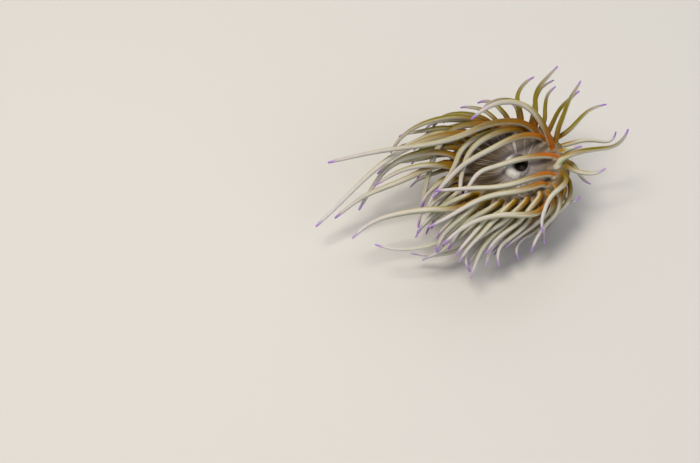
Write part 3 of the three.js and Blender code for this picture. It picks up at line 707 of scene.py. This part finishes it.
def body_surface(arms):
    """The body's points in rings, their bearings, distances along the outline and heights as a ridge."""
    radius, height, spot = outline_rings()
    b, r = np.meshgrid(np.arange(AROUND) * 2 * math.pi / AROUND, radius)
    z = np.repeat(height[:, None], AROUND, axis=1)
    s = np.repeat(spot[:, None], AROUND, axis=1)
    on_crown = s < spot[np.argmax(radius)]
    on_top = on_crown & (z > TOP_ABOVE)
    roots = {row: [arm["bearing"] for arm in arms if arm["row"] == row] for row in ROWS}
    # the disc's ridges and valleys
    high, width, *spans = RIDGES
    ridge = humps(b, np.maximum(r, 1), roots["inner"], width) * between(r, *spans) * on_top
    deep, *spans = VALLEYS
    z += ridge * high - deep * between(r, *spans) * on_top
    # the wall's swellings and furrows, and the foot's lobes
    high, width, *spans = SWELLINGS
    r = r + high * humps(b, r, roots["outer"], width) * between(z, *spans) * ~on_top
    deep, count, *spans = FURROWS
    r = r - deep * between(z, *spans) * ~on_top * (0.5 + 0.5 * np.cos(count * b)) ** 2
    r = r * (1 + LOBE_DEPTH * (r / FOOT_RADIUS) ** 2 * np.cos(FOOT_LOBES * b) * eased(z, *LOBES_OVER))
    # folds of the lip and of the gullet's wall
    high, count, *spans = LIP_FOLDS
    fold = high * np.cos(count * b + LIP_FOLD_WANDER * np.sin(3 * b))
    tilt = LIP_TILT * np.cos(b - math.radians(LIP_TILT_BEARING))
    z += between(r, *spans) * on_top * (fold + tilt - LIP_SINK)
    deep, count, past_edge, bottom = GULLET_FOLDS
    edge = spot[np.argmin(abs(radius - MOUTH_RADIUS))]
    gullet = eased(s, edge + past_edge, bottom) * (r < GULLET_REACH)
    r = r * (1 - deep * gullet * np.cos(count * b))
    return leaned(set_aside(r, b, z, on_crown)), b, s, ridge


def body_mesh(arms):
    points, b, s, ridge = body_surface(arms)

    def in_one_row(values):
        """The rings but for the first and last, which are each one point."""
        inner = values[1:-1].reshape(-1, *values.shape[2:])
        return np.concatenate([inner, values[0, :1], values[-1, :1]])

    every = in_one_row(points) * MM
    first, last = len(every) - 2, len(every) - 1
    k = np.arange(AROUND)
    after = (k + 1) % AROUND
    end = (len(points) - 3) * AROUND
    low = np.arange(0, end, AROUND)[:, None]
    high = low + AROUND
    faces = np.stack([low + k, high + k, high + after, low + after], axis=2).reshape(-1, 4).tolist()
    faces += np.stack([np.full(AROUND, first), k, after], axis=1).tolist()
    faces += np.stack([np.full(AROUND, last), end + after, end + k], axis=1).tolist()
    mesh = new_mesh("body", every, faces=faces)
    spot, turn = in_one_row(s), in_one_row(b)
    store(mesh, "spot", spot)
    store(mesh, "ridge", in_one_row(ridge))
    store(mesh, "grain", np.stack([np.cos(turn), np.sin(turn), spot * MM * GRAIN_SCALE], axis=1))
    return mesh


# ---- marginal beads
BEAD_RADIUS, BEAD_HEIGHT = 24.35, 19.1  # of the ring that the beads sit in
BEAD_DROOP = 0.55  # how far down they face, for each unit outwards
BEAD_BEARING_SPREAD, BEAD_HEIGHT_SPREAD = 1.5, 0.25


def build_beads(add, size):
    """Sets a small flattened bead on each point, facing the point's outward direction."""
    ball = add("GeometryNodeMeshIcoSphere", {"Radius": size["Bead radius"], "Subdivisions": 3})
    outward = add("GeometryNodeInputNamedAttribute", {"Name": "outward"}, data_type="FLOAT_VECTOR")
    facing = add("FunctionNodeAlignRotationToVector", {"Vector": outward}, axis="Z")
    limits = {2: size["Least size"], 3: 1.0, "Seed": size["Seed"]}
    wide = add("FunctionNodeRandomValue", limits, 1, data_type="FLOAT")
    flat = add("ShaderNodeMath", {0: wide, 1: size["Flatness"]}, operation="MULTIPLY")
    scale = add("ShaderNodeCombineXYZ", {0: wide, 1: wide, 2: flat})
    points = add("GeometryNodeMeshToPoints", {"Mesh": size["Geometry"]})
    beads = {"Points": points, "Instance": ball, "Rotation": facing, "Scale": scale}
    return add("GeometryNodeInstanceOnPoints", beads)


def bead_places(arms):
    """A place on the collar's outer wall under each outer arm, and the way it faces."""
    draws = Draws(5)
    at, outward = [], []
    for arm in arms:
        if arm["row"] != "outer":
            continue
        bearing = arm["bearing"] + draws.spread(BEAD_BEARING_SPREAD)
        way = unit(heading(bearing) - [0, 0, BEAD_DROOP])
        height = BEAD_HEIGHT + draws.spread(BEAD_HEIGHT_SPREAD)
        at.append(leaned(heading(bearing) * BEAD_RADIUS + [0, 0, height]))
        outward.append(leaned(at[-1] + way) - leaned(at[-1]))
    return np.array(at) * MM, np.array(outward)


# ---- one skin
ATLAS = 243.0  # side of the square, in millimetres, that the skin is laid out in
ATLAS_GAP = 0.8
TOP_TO = 30.3  # along the body's outline: the flat top ends here,
UNDER_FROM = 60.4  # and the flat underside begins here
TOP_REACH, UNDER_REACH = 24.6, 23.0
WALL_WIDTH = 137.0
BEADS_SQUARE = 4.0  # side of the square that all the beads share,
BEADS_SHRINK = 20.0  # in which they are laid out this much smaller
SPARE_WALL, SPARE_ARM = 1.0, 0.1  # room past the end of a strip


def shelves(sizes):
    """Lower left corners for rectangles (width, height), laid in shelves from the tallest down."""
    corners = {}
    x = y = shelf = 0.0
    for name in sorted(sizes, key=lambda n: -sizes[n][1]):
        width, height = sizes[name]
        if x + width > ATLAS:
            x, y, shelf = 0.0, y + shelf, 0.0
        corners[name] = (x, y)
        x += width + ATLAS_GAP
        shelf = max(shelf, height + ATLAS_GAP)
    return corners


def map_corners(arms):
    """Where each part of the skin lies in the square map."""
    sizes = {"top": (2 * TOP_REACH, 2 * TOP_REACH), "underside": (2 * UNDER_REACH, 2 * UNDER_REACH)}
    sizes["wall"] = (WALL_WIDTH, UNDER_FROM - TOP_TO + SPARE_WALL)
    sizes["beads"] = (BEADS_SQUARE, BEADS_SQUARE)
    for number, arm in enumerate(arms):
        length = smooth_route(arm["points"])[1][-1] + ROOT_DEPTH
        sizes[number] = (2 * math.pi * arm["girth"], length + SPARE_ARM)
    return shelves(sizes)


def corners_of(mesh):
    """The vertex and the face of every corner."""
    counts = read(mesh.polygons, "loop_total")
    return read(mesh.loops, "vertex_index"), np.repeat(np.arange(len(counts)), counts)


def face_least(face, values):
    least = np.full(face.max() + 1, np.inf)
    np.minimum.at(least, face, values)
    return least[face]


def unrolled(face, turn):
    """Shares of a turn, going on past 1 in the faces that cross the turn's end."""
    span = -face_least(face, -turn) - face_least(face, turn)
    return np.where((span > 0.5) & (turn < 0.5), turn + 1, turn)


def lay_out(mesh, u, v):
    layer = mesh.uv_layers.new(name="OFBake")
    layer.data.foreach_set("uv", (np.stack([u, v], axis=1) / ATLAS).astype(np.float32).ravel())


def lay_out_arms(mesh, corners):
    """Each arm is a strip: once round across it, and its length up it."""
    vertex, face = corners_of(mesh)
    number = stored(mesh, "number").round().astype(int)[vertex]
    turn = unrolled(face, stored(mesh, "turn")[vertex].astype(float))
    start = np.array([corners[n] for n in range(number.max() + 1)])[number]
    along = stored(mesh, "from_root")[vertex] / MM + ROOT_DEPTH
    width = 2 * math.pi * stored(mesh, "girth")[vertex] / MM
    lay_out(mesh, start[:, 0] + turn * width, start[:, 1] + along)


def lay_out_body(mesh, corners):
    """The top and the underside are laid flat, and the wall between them is a strip."""
    vertex, face = corners_of(mesh)
    at = leaned(places(mesh) / MM, -1)[vertex]
    spot = stored(mesh, "spot")[vertex]
    grain = stored(mesh, "grain")[vertex]
    turn = unrolled(face, np.arctan2(grain[:, 1], grain[:, 0]) / (2 * math.pi) + 0.5)
    low = face_least(face, spot)
    u = corners["wall"][0] + turn * WALL_WIDTH
    v = corners["wall"][1] + spot - TOP_TO
    flat = (("top", low < TOP_TO, TOP_REACH), ("underside", low > UNDER_FROM, UNDER_REACH))
    for name, chosen, reach in flat:
        u = np.where(chosen, corners[name][0] + reach + at[:, 0], u)
        v = np.where(chosen, corners[name][1] + reach + at[:, 1], v)
    lay_out(mesh, u, v)


def lay_out_beads(mesh, corners):
    """The beads are laid flat as seen from above, in one small square."""
    for layer in list(mesh.uv_layers):
        mesh.uv_layers.remove(layer)
    at = places(mesh)[corners_of(mesh)[0], :2] / MM / BEADS_SHRINK
    u, v = (corners["beads"][k] + BEADS_SQUARE / 2 + at[:, k] for k in range(2))
    lay_out(mesh, u, v)


def arm_tubes(arms, corners, skin):
    points, edges, held = arm_paths(arms)
    paths = new_mesh("arm paths", points, edges)
    for name, values in held.items():
        store(paths, name, values)
    sizes = {"Sides": 12, "Tip girth": TIP_GIRTH, "Taper": TAPER, "Root flare": 0.32, "Flare reach": 1.0 * MM}
    sizes |= {"Tip slimming": 0.28, "Slim reach": 5.0 * MM, "Tip roundness": 0.5 * MM, "Unevenness": 0.12}
    mesh = made_by(build_arm_tubes, "arm tubes", paths, sizes | {"Skin": skin})
    axes = ([stored(mesh, f"{name}_{axis}") for axis in "xyz"] for name in ("centre", "side"))
    centre, side = (np.stack(values, axis=1) for values in axes)
    turn = stored(mesh, "turn") * 2 * math.pi
    store(mesh, "olive", (unit(places(mesh) - centre) * side).sum(1) + stored(mesh, "green"))
    along = stored(mesh, "from_root") * GRAIN_SCALE
    store(mesh, "grain", np.stack([np.cos(turn), np.sin(turn), along], axis=1))
    store(mesh, "arm", np.ones(len(turn)))
    lay_out_arms(mesh, corners)
    return mesh


def collar_beads(arms, corners, skin):
    at, outward = bead_places(arms)
    seats = new_mesh("bead seats", at)
    store(seats, "outward", outward)
    sizes = {"Bead radius": 0.85 * MM, "Flatness": 0.8, "Least size": 0.7, "Seed": 3, "Skin": skin}
    mesh = made_by(build_beads, "marginal beads", seats, sizes)
    store(mesh, "bead", np.ones(len(mesh.vertices)))
    lay_out_beads(mesh, corners)
    return mesh


# Values of the skin's vertices, 0 where a part has none. "made" is 1, and 0 at vertices new in the union.
SKIN_VALUES = "spot ridge arm bead share from_root olive warmth lilac hue made".split()
MADE_LEAST = 0.999
FILL_ROUNDS = 6
ROUNDING_ROUNDS = 10
ROUNDING_SHARE = 0.5
ARM_ROUNDING = (0.7, 2.4)  # distances from an arm's root over which the joint's rounding fades on the arm,
WALL_ROUNDING = (0.3, 1.5)  # and from its side, on the body
ROUNDING_ABOVE = 15


def fill_in_values(mesh):
    for name in SKIN_VALUES:
        if name not in mesh.attributes:
            store(mesh, name, np.full(len(mesh.vertices), 1.0 if name == "made" else 0.0))
    if "grain" not in mesh.attributes:
        store(mesh, "grain", places(mesh) * GRAIN_SCALE)


def joined(body, parts, skin):
    """The body and its parts, as one closed mesh."""
    for mesh in (body, *parts):
        fill_in_values(mesh)
    whole = new_object("anemone_skin", body)
    others = bpy.data.collections.new("arms and beads")
    bpy.context.scene.collection.children.link(others)
    for mesh in parts:
        part = bpy.data.objects.new(mesh.name, mesh)
        others.objects.link(part)
        bpy.ops.object.select_all(action="DESELECT")
        part.select_set(True)
        bpy.context.view_layer.objects.active = part
        bpy.ops.mesh.separate(type="LOOSE")
    union = whole.modifiers.new("union", "BOOLEAN")
    union.operation = "UNION"
    union.solver = "MANIFOLD"
    union.operand_type = "COLLECTION"
    union.collection = others
    mesh = as_modified(whole)
    whole.modifiers.remove(union)
    for part in list(others.objects):
        bpy.data.objects.remove(part)
    bpy.data.collections.remove(others)
    mesh.materials.clear()
    mesh.materials.append(skin)
    mesh.polygons.foreach_set("material_index", np.zeros(len(mesh.polygons), np.int32))
    whole.data = mesh
    return whole


def means(values, a, b, kept):
    """Each vertex's mean of its neighbours' values, counting only the vertices that are kept."""
    total = np.zeros(values.shape)
    number = np.zeros(len(values))
    for here, there in ((a, b), (b, a)):
        chosen = kept[there]
        np.add.at(total, here[chosen], values[there[chosen]])
        np.add.at(number, here[chosen], 1)
    return total / np.maximum(number, 1)[:, None], number > 0


def joint_weight(at, arms, on_arm, from_root):
    """How much each vertex takes part in the rounding between arms and body."""
    nearest = np.full(len(at), np.inf)
    for arm in arms:
        nearest = np.minimum(nearest, np.linalg.norm(at - arm["points"][0] * MM, axis=1) / MM - arm["girth"])
    weight = 1 - np.where(on_arm, eased(from_root, *ARM_ROUNDING), eased(nearest, *WALL_ROUNDING))
    return weight * (at[:, 2] > ROUNDING_ABOVE * MM)


def soften(whole, arms):
    """Rounds the skin where the arms meet the collar, and fills in its values there."""
    mesh = whole.data
    a, b = read(mesh.edges, "vertices", 2).T
    values = np.column_stack([stored(mesh, name) for name in (*SKIN_VALUES, "grain")]).astype(float)
    made = values[:, SKIN_VALUES.index("made")] > MADE_LEAST
    for _ in range(FILL_ROUNDS):
        mean, known = means(values, a, b, made)
        fresh = ~made & known
        values[fresh] = mean[fresh]
        made = made | fresh
    at = places(mesh)
    on_arm = values[:, SKIN_VALUES.index("arm")] > 0.5
    from_root = values[:, SKIN_VALUES.index("from_root")] / MM
    share = (ROUNDING_SHARE * joint_weight(at, arms, on_arm, from_root))[:, None]
    every = np.ones(len(at), bool)
    for _ in range(ROUNDING_ROUNDS):
        at += (means(at, a, b, every)[0] - at) * share
        values += (means(values, a, b, every)[0] - values) * share
    mesh.vertices.foreach_set("co", at.astype(np.float32).ravel())
    for k, name in enumerate(SKIN_VALUES):
        store(mesh, name, values[:, k])
    store(mesh, "grain", values[:, -3:])
    mesh.update()
    mesh.shade_smooth()


def anemone_skin(skin):
    arms = settle(grown_arms())
    corners = map_corners(arms)
    body = body_mesh(arms)
    lay_out_body(body, corners)
    whole = joined(body, [arm_tubes(arms, corners, skin), collar_beads(arms, corners, skin)], skin)
    soften(whole, arms)
    return whole


# ---- living flesh
# Colours across an arm from its pale side (0) to its olive side (1), near its root and far out.
# Their darker green-grey at the pale end is partly the flesh's greenish tint and partly painted shade on the
# lower edge, where the pale side faces down.
NEAR_ACROSS = [(0.0, "#a3ab80"), (0.14, "#b2b592"), (0.3, "#bcb6a2"), (0.46, "#b8a986")]
NEAR_ACROSS += [(0.54, "#9b7c22"), (0.62, "#906f00"), (0.8, "#806200"), (1.0, "#685200")]
FAR_ACROSS = [(0.0, "#87895f"), (0.14, "#a6a688"), (0.29, "#c0bcad"), (0.48, "#c3bfb5")]
FAR_ACROSS += [(0.62, "#b9b39d"), (0.75, "#a89f72"), (0.88, "#85791f"), (1.0, "#6e6104")]
FAR_NARROWING = 0.8  # how much of the far colours' range is used
# Colours of the body by the distance along its outline, in millimetres.
# The near-black stops up to 6 mm are painted shade inside the mouth's hollow.
DOWN_THE_BODY_WITH_SHADE = [(0.0, "#241d17"), (6.0, "#302822"), (7.6, "#5c5351"), (9.0, "#857c7c"), (12.0, "#8c8482")]
# The dark browns from 24.5 to 34 mm are partly the collar's own brown and partly painted shade under the
# crowding arms.
DOWN_THE_BODY_WITH_SHADE += [(14.0, "#7f756e"), (19.0, "#75695f"), (24.5, "#655640"), (28.0, "#726138")]
DOWN_THE_BODY_WITH_SHADE += [(34.0, "#6e5d34"), (41.0, "#70503a"), (52.0, "#7a5545"), (62.0, "#8f6f5f")]
# The way below is towards the light: the lip is whitest there as a painted highlight.
LIP_LIGHT = (-0.94, -0.34)  # the way from the mouth in which the lip is whitest
GROOVE_LEAN, GROOVE_ASIDE = 0.0171, 0.185  # where the groove crosses the disc, as the cosine of its bearing
GROOVE_FROM = 6.3  # along the outline, so that the groove is equally wide
GROOVE_WIDTH = (0.8, 0.35)
MOTTLE_WIDTH = 50 / 13  # of the lighter and darker patches,
PORE_WIDTH = 2 / 3  # and of the fine relief, drawn coarser than it is so that it shows


def colour(code):
    """Linear red, green, blue and alpha of an sRGB hex colour."""
    shares = [int(code[k : k + 2], 16) / 255 for k in (1, 3, 5)]
    return (*[c / 12.92 if c <= 0.04045 else ((c + 0.055) / 1.055) ** 2.4 for c in shares], 1.0)


def lay_stops(painted, stops, interpolation="EASE"):
    """Lays out the colour ramp behind a socket from (place, hex code) stops, the last at its end."""
    ramp = painted.node.color_ramp
    ramp.interpolation = interpolation
    while len(ramp.elements) < len(stops):
        ramp.elements.new(1.0)
    for element, (at, code) in zip(ramp.elements, stops):
        element.position = at / stops[-1][0]
        element.color = colour(code)


def laid_over(add, below, paint, strength, *spans):
    """Paint over what is below it, by how far each value is along its span, which may run downwards."""
    factors = []
    for value, none, full in spans:
        span = {"Value": value, "From Min": none, "From Max": full}
        factors.append(add("ShaderNodeMapRange", span, interpolation_type="SMOOTHSTEP"))
    share = factors[0]
    for factor in (*factors[1:], strength):
        share = add("ShaderNodeMath", {0: share, 1: factor}, operation="MULTIPLY")
    paint = colour(paint) if isinstance(paint, str) else paint
    return add("ShaderNodeMix", {0: share, 6: below, 7: paint}, 2, data_type="RGBA")


def grained(add, along, scale, detail=1.0):
    """Soft patches round an arm or the body, drawn out along it where along is below 1.

    Their scale is how many fit into the radius of the arm or body, so they widen with it.
    """
    grain = add("ShaderNodeAttribute", output="Vector", attribute_name="grain")
    drawn = add("ShaderNodeVectorMath", {0: grain, 1: (1.0, 1.0, along)}, operation="MULTIPLY")
    return add("ShaderNodeTexNoise", {"Vector": drawn, "Scale": scale, "Detail": detail})


def arm_colour(add):
    """Pale on one side, golden olive on the other, orange at the root, greyer outwards, lilac at the tip."""
    names = ("share", "from_root", "olive", "warmth", "lilac")
    at = {name: add("ShaderNodeAttribute", output="Fac", attribute_name=name) for name in names}
    wave = add("ShaderNodeMath", {0: grained(add, 1.0, 1.6, 2.0), 1: 0.7, 2: -0.35}, operation="MULTIPLY_ADD")
    side = add("ShaderNodeMath", {0: at["olive"], 1: wave}, operation="ADD")
    across = add("ShaderNodeMath", {0: side, 1: 0.5, 2: 0.5}, operation="MULTIPLY_ADD")
    near = add("ShaderNodeValToRGB", {"Fac": across})
    lay_stops(near, NEAR_ACROSS)
    narrowed = add("ShaderNodeMath", {0: across, 1: FAR_NARROWING}, operation="MULTIPLY")
    far = add("ShaderNodeValToRGB", {"Fac": narrowed})
    lay_stops(far, FAR_ACROSS)
    wander = {0: grained(add, 1.0, 0.7), 1: 0.35, 2: -0.175}
    wander = add("ShaderNodeMath", wander, operation="MULTIPLY_ADD")
    outwards = add("ShaderNodeMath", {0: at["share"], 1: wander}, operation="ADD")
    arm = laid_over(add, near, far, 1.0, (outwards, 0.12, 0.48))
    # pale lines on the pale side, partly the arm's own pale stripes and partly painted highlights, and olive
    # clouds
    pale_streaks_and_highlights = grained(add, 0.12, 7.0)
    arm = laid_over(add, arm, "#dcd6c8", 0.5, (pale_streaks_and_highlights, 0.52, 0.68), (across, 0.6, 0.42))
    clouds = grained(add, 0.3, 5.0, 2.0)
    arm = laid_over(add, arm, "#7d7430", 0.3, (clouds, 0.5, 0.72))
    # the orange root and the greyer outer half
    arm = laid_over(add, arm, "#a85a10", at["warmth"], (at["share"], 0.3, 0.0), (side, -0.5, 0.5))
    arm = laid_over(add, arm, "#cbc4d2", 0.4, (at["share"], 0.5, 0.95))
    # the lilac tip, by the distance that is left of the arm's length
    some = add("ShaderNodeMath", {0: at["share"], 1: 0.05}, operation="MAXIMUM")
    length = add("ShaderNodeMath", {0: at["from_root"], 1: some}, operation="DIVIDE")
    to_tip = add("ShaderNodeMath", {0: length, 1: at["from_root"]}, operation="SUBTRACT")
    tip = ((at["share"], 0.3, 0.6), (to_tip, 4.6 * MM, 1.3 * MM))
    return laid_over(add, arm, "#9a70c0", at["lilac"], *tip)


def body_colour(add):
    """A brown and mauve disc with rays, a groove across it and a lip with a painted highlight, painted shade
    in the mouth and on the collar, and a reddish brown column.
    """
    names = ("spot", "ridge", "bead")
    spot, ridge, bead = (add("ShaderNodeAttribute", output="Fac", attribute_name=name) for name in names)
    grain = add("ShaderNodeAttribute", output="Vector", attribute_name="grain")
    cosine = add("ShaderNodeSeparateXYZ", {0: grain})
    sine = cosine.node.outputs[1]
    down = add("ShaderNodeMath", {0: spot, 1: 1 / DOWN_THE_BODY_WITH_SHADE[-1][0]}, operation="MULTIPLY")
    body = add("ShaderNodeValToRGB", {"Fac": down})
    lay_stops(body, DOWN_THE_BODY_WITH_SHADE, "LINEAR")
    # the disc: darker to the left, with pale rays, dark rays and paler ridges
    on_disc = ((spot, 11.5, 13.5), (spot, 27.0, 23.0))
    outer_left = ((cosine, 0.0, -0.85), (spot, 12.5, 17.0), (spot, 29.0, 26.0))
    body = laid_over(add, body, "#46361a", 0.88, *outer_left)
    body = laid_over(add, body, "#b9afad", 0.4, (grained(add, 0.25, 19.0, 2.0), 0.5, 0.7), *on_disc)
    dark_rays = ((grained(add, 0.25, 13.0, 2.0), 0.5, 0.36), (spot, 15.0, 24.0), (spot, 30.0, 27.0))
    body = laid_over(add, body, "#473824", 0.5, *dark_rays)
    body = laid_over(add, body, "#9d9280", 0.55, (ridge, 0.12, 0.6))
    # the lip, whitened as a painted highlight on its side towards the light
    lit = add("ShaderNodeMath", {0: sine, 1: LIP_LIGHT[1]}, operation="MULTIPLY")
    lit = add("ShaderNodeMath", {0: cosine, 1: LIP_LIGHT[0], 2: lit}, operation="MULTIPLY_ADD")
    body = laid_over(add, body, "#c6c4c0", 1.0, (spot, 8.2, 9.8), (spot, 12.0, 11.3), (lit, 0.05, 0.6))
    # the groove crosses the disc from front to back
    line = add("ShaderNodeMath", {0: spot, 1: GROOVE_LEAN, 2: -GROOVE_ASIDE}, operation="MULTIPLY_ADD")
    turn = add("ShaderNodeMath", {0: cosine, 1: line}, operation="SUBTRACT")
    turn = add("ShaderNodeMath", {0: turn}, operation="ABSOLUTE")
    out = add("ShaderNodeMath", {0: spot, 1: GROOVE_FROM}, operation="SUBTRACT")
    off_groove = add("ShaderNodeMath", {0: turn, 1: out}, operation="MULTIPLY")
    body = laid_over(add, body, "#c6bfbb", 0.7, (off_groove, *GROOVE_WIDTH), *on_disc)
    # pale lines down the column, and the pale beads
    lines = grained(add, 1.0, 16.0)
    body = laid_over(add, body, "#a98571", 0.22, (lines, 0.54, 0.64), (spot, 36.0, 42.0))
    return laid_over(add, body, "#cfc9bd", 1.0, (bead, 0.3, 0.8))


def new_material(name):
    """A material with an empty tree, and the way to add nodes to it."""
    material = bpy.data.materials.new(name)
    material.use_nodes = True
    material.node_tree.nodes.clear()
    return material, partial(add_node, material.node_tree)


def flesh():
    """Thin, water-filled living flesh, which grew smooth and wet.

    It lets a little light through, scatters it softly, and has a satin gloss. Algae in it make one side of
    each arm golden olive, which on the arms hanging in front is turned down and there is partly painted
    shade, and pigment makes the roots orange and the tips lilac.
    """
    material, add = new_material("anemone flesh")
    arm, hue = (add("ShaderNodeAttribute", output="Fac", attribute_name=name) for name in ("arm", "hue"))
    skin = laid_over(add, body_colour(add), arm_colour(add), 1.0, (arm, 0.15, 0.85))
    place = add("ShaderNodeTexCoord", output="Object")
    patches = {"Vector": place, "Scale": 1 / (MOTTLE_WIDTH * MM), "Detail": 3.0}
    patches = add("ShaderNodeTexNoise", patches)
    value = add("ShaderNodeMath", {0: hue, 1: 0.07, 2: 0.9}, operation="MULTIPLY_ADD")
    value = add("ShaderNodeMath", {0: patches, 1: 0.2, 2: value}, operation="MULTIPLY_ADD")
    tone = add("ShaderNodeHueSaturation", {"Color": skin, "Value": value})
    pores = {"Vector": place, "Scale": 1 / (PORE_WIDTH * MM), "Detail": 2.0}
    pores = add("ShaderNodeTexNoise", pores)
    wrinkles = add("ShaderNodeMath", {0: grained(add, 9.0, 6.0, 2.0), 1: 0.6}, operation="MULTIPLY")
    relief = add("ShaderNodeMath", {0: pores, 1: 0.4, 2: wrinkles}, operation="MULTIPLY_ADD")
    bump = add("ShaderNodeBump", {"Height": relief, "Strength": 0.25, "Distance": 0.2 * MM})
    gloss = {"Roughness": 0.48, "IOR": 1.34, "Specular IOR Level": 0.28, "Normal": bump}
    depth = {"Subsurface Weight": 0.25, "Subsurface Radius": (1.0, 0.7, 0.45), "Subsurface Scale": 0.5 * MM}
    shader = add("ShaderNodeBsdfPrincipled", {"Base Color": tone, **gloss, **depth})
    add("ShaderNodeOutputMaterial", {"Surface": shader})
    return material


def pale_paper():
    """Matt, uncoated off-white paper for the floor, which has no gloss."""
    material, add = new_material("pale paper")
    shader = add("ShaderNodeBsdfPrincipled", {"Base Color": colour("#c9c7c2"), "Roughness": 0.9})
    add("ShaderNodeOutputMaterial", {"Surface": shader})
    return material


# ---- floor, light and camera, in metres
FLOOR_HALF = 3.0
FLOOR_DROP = 0.0001
LIGHTS = [  # name, place, size, power and colour
    ("key", (-0.35, -0.1, 0.95), 0.45, 8.4, "#fff6ea"),
    ("fill", (0.7, -0.6, 0.6), 0.8, 4.0, "#eef2ff"),
    ("back", (0.1, 0.9, 0.6), 0.6, 3.0, "#ffffff"),
]
LIT_POINT = Vector((-0.02, 0, 0.02))
AIR_COLOUR, AIR_STRENGTH = "#e8eaee", 0.35
CAMERA_AT = Vector((-68.04, -531.57, 532.44)) * MM
CAMERA_ELEVATION = 46
CAMERA_LENS, CAMERA_SENSOR = 90, 36


def floor():
    corners = [(x * FLOOR_HALF, y * FLOOR_HALF, -FLOOR_DROP) for x, y in ((-1, -1), (1, -1), (1, 1), (-1, 1))]
    sheet = new_object("floor", new_mesh("floor", corners, faces=[(0, 1, 2, 3)]))
    sheet.data.materials.append(pale_paper())


def studio():
    for name, at, size, power, code in LIGHTS:
        lamp = bpy.data.lights.new(name, "AREA")
        lamp.shape = "SQUARE"
        lamp.size = size
        lamp.energy = power
        lamp.color = colour(code)[:3]
        holder = new_object(name, lamp)
        holder.location = at
        holder.rotation_euler = (LIT_POINT - Vector(at)).to_track_quat("-Z", "Y").to_euler()
    world = bpy.data.worlds.new("studio air")
    world.use_nodes = True
    air = world.node_tree.nodes["Background"].inputs
    air["Color"].default_value = colour(AIR_COLOUR)
    air["Strength"].default_value = AIR_STRENGTH
    bpy.context.scene.world = world
    bpy.context.scene.view_settings.view_transform = "Standard"


def camera():
    lens = bpy.data.cameras.new("camera")
    lens.lens = CAMERA_LENS
    lens.sensor_width = CAMERA_SENSOR
    lens.clip_start = 0.01
    holder = new_object("camera", lens)
    holder.location = CAMERA_AT
    holder.rotation_euler = (math.radians(90 - CAMERA_ELEVATION), 0, 0)
    bpy.context.scene.camera = holder


# ---- the whole model
def make():
    skin = anemone_skin(flesh())
    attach(skin, "root")
    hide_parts(*frame["nodes"])
    floor()
    studio()
    camera()


make()
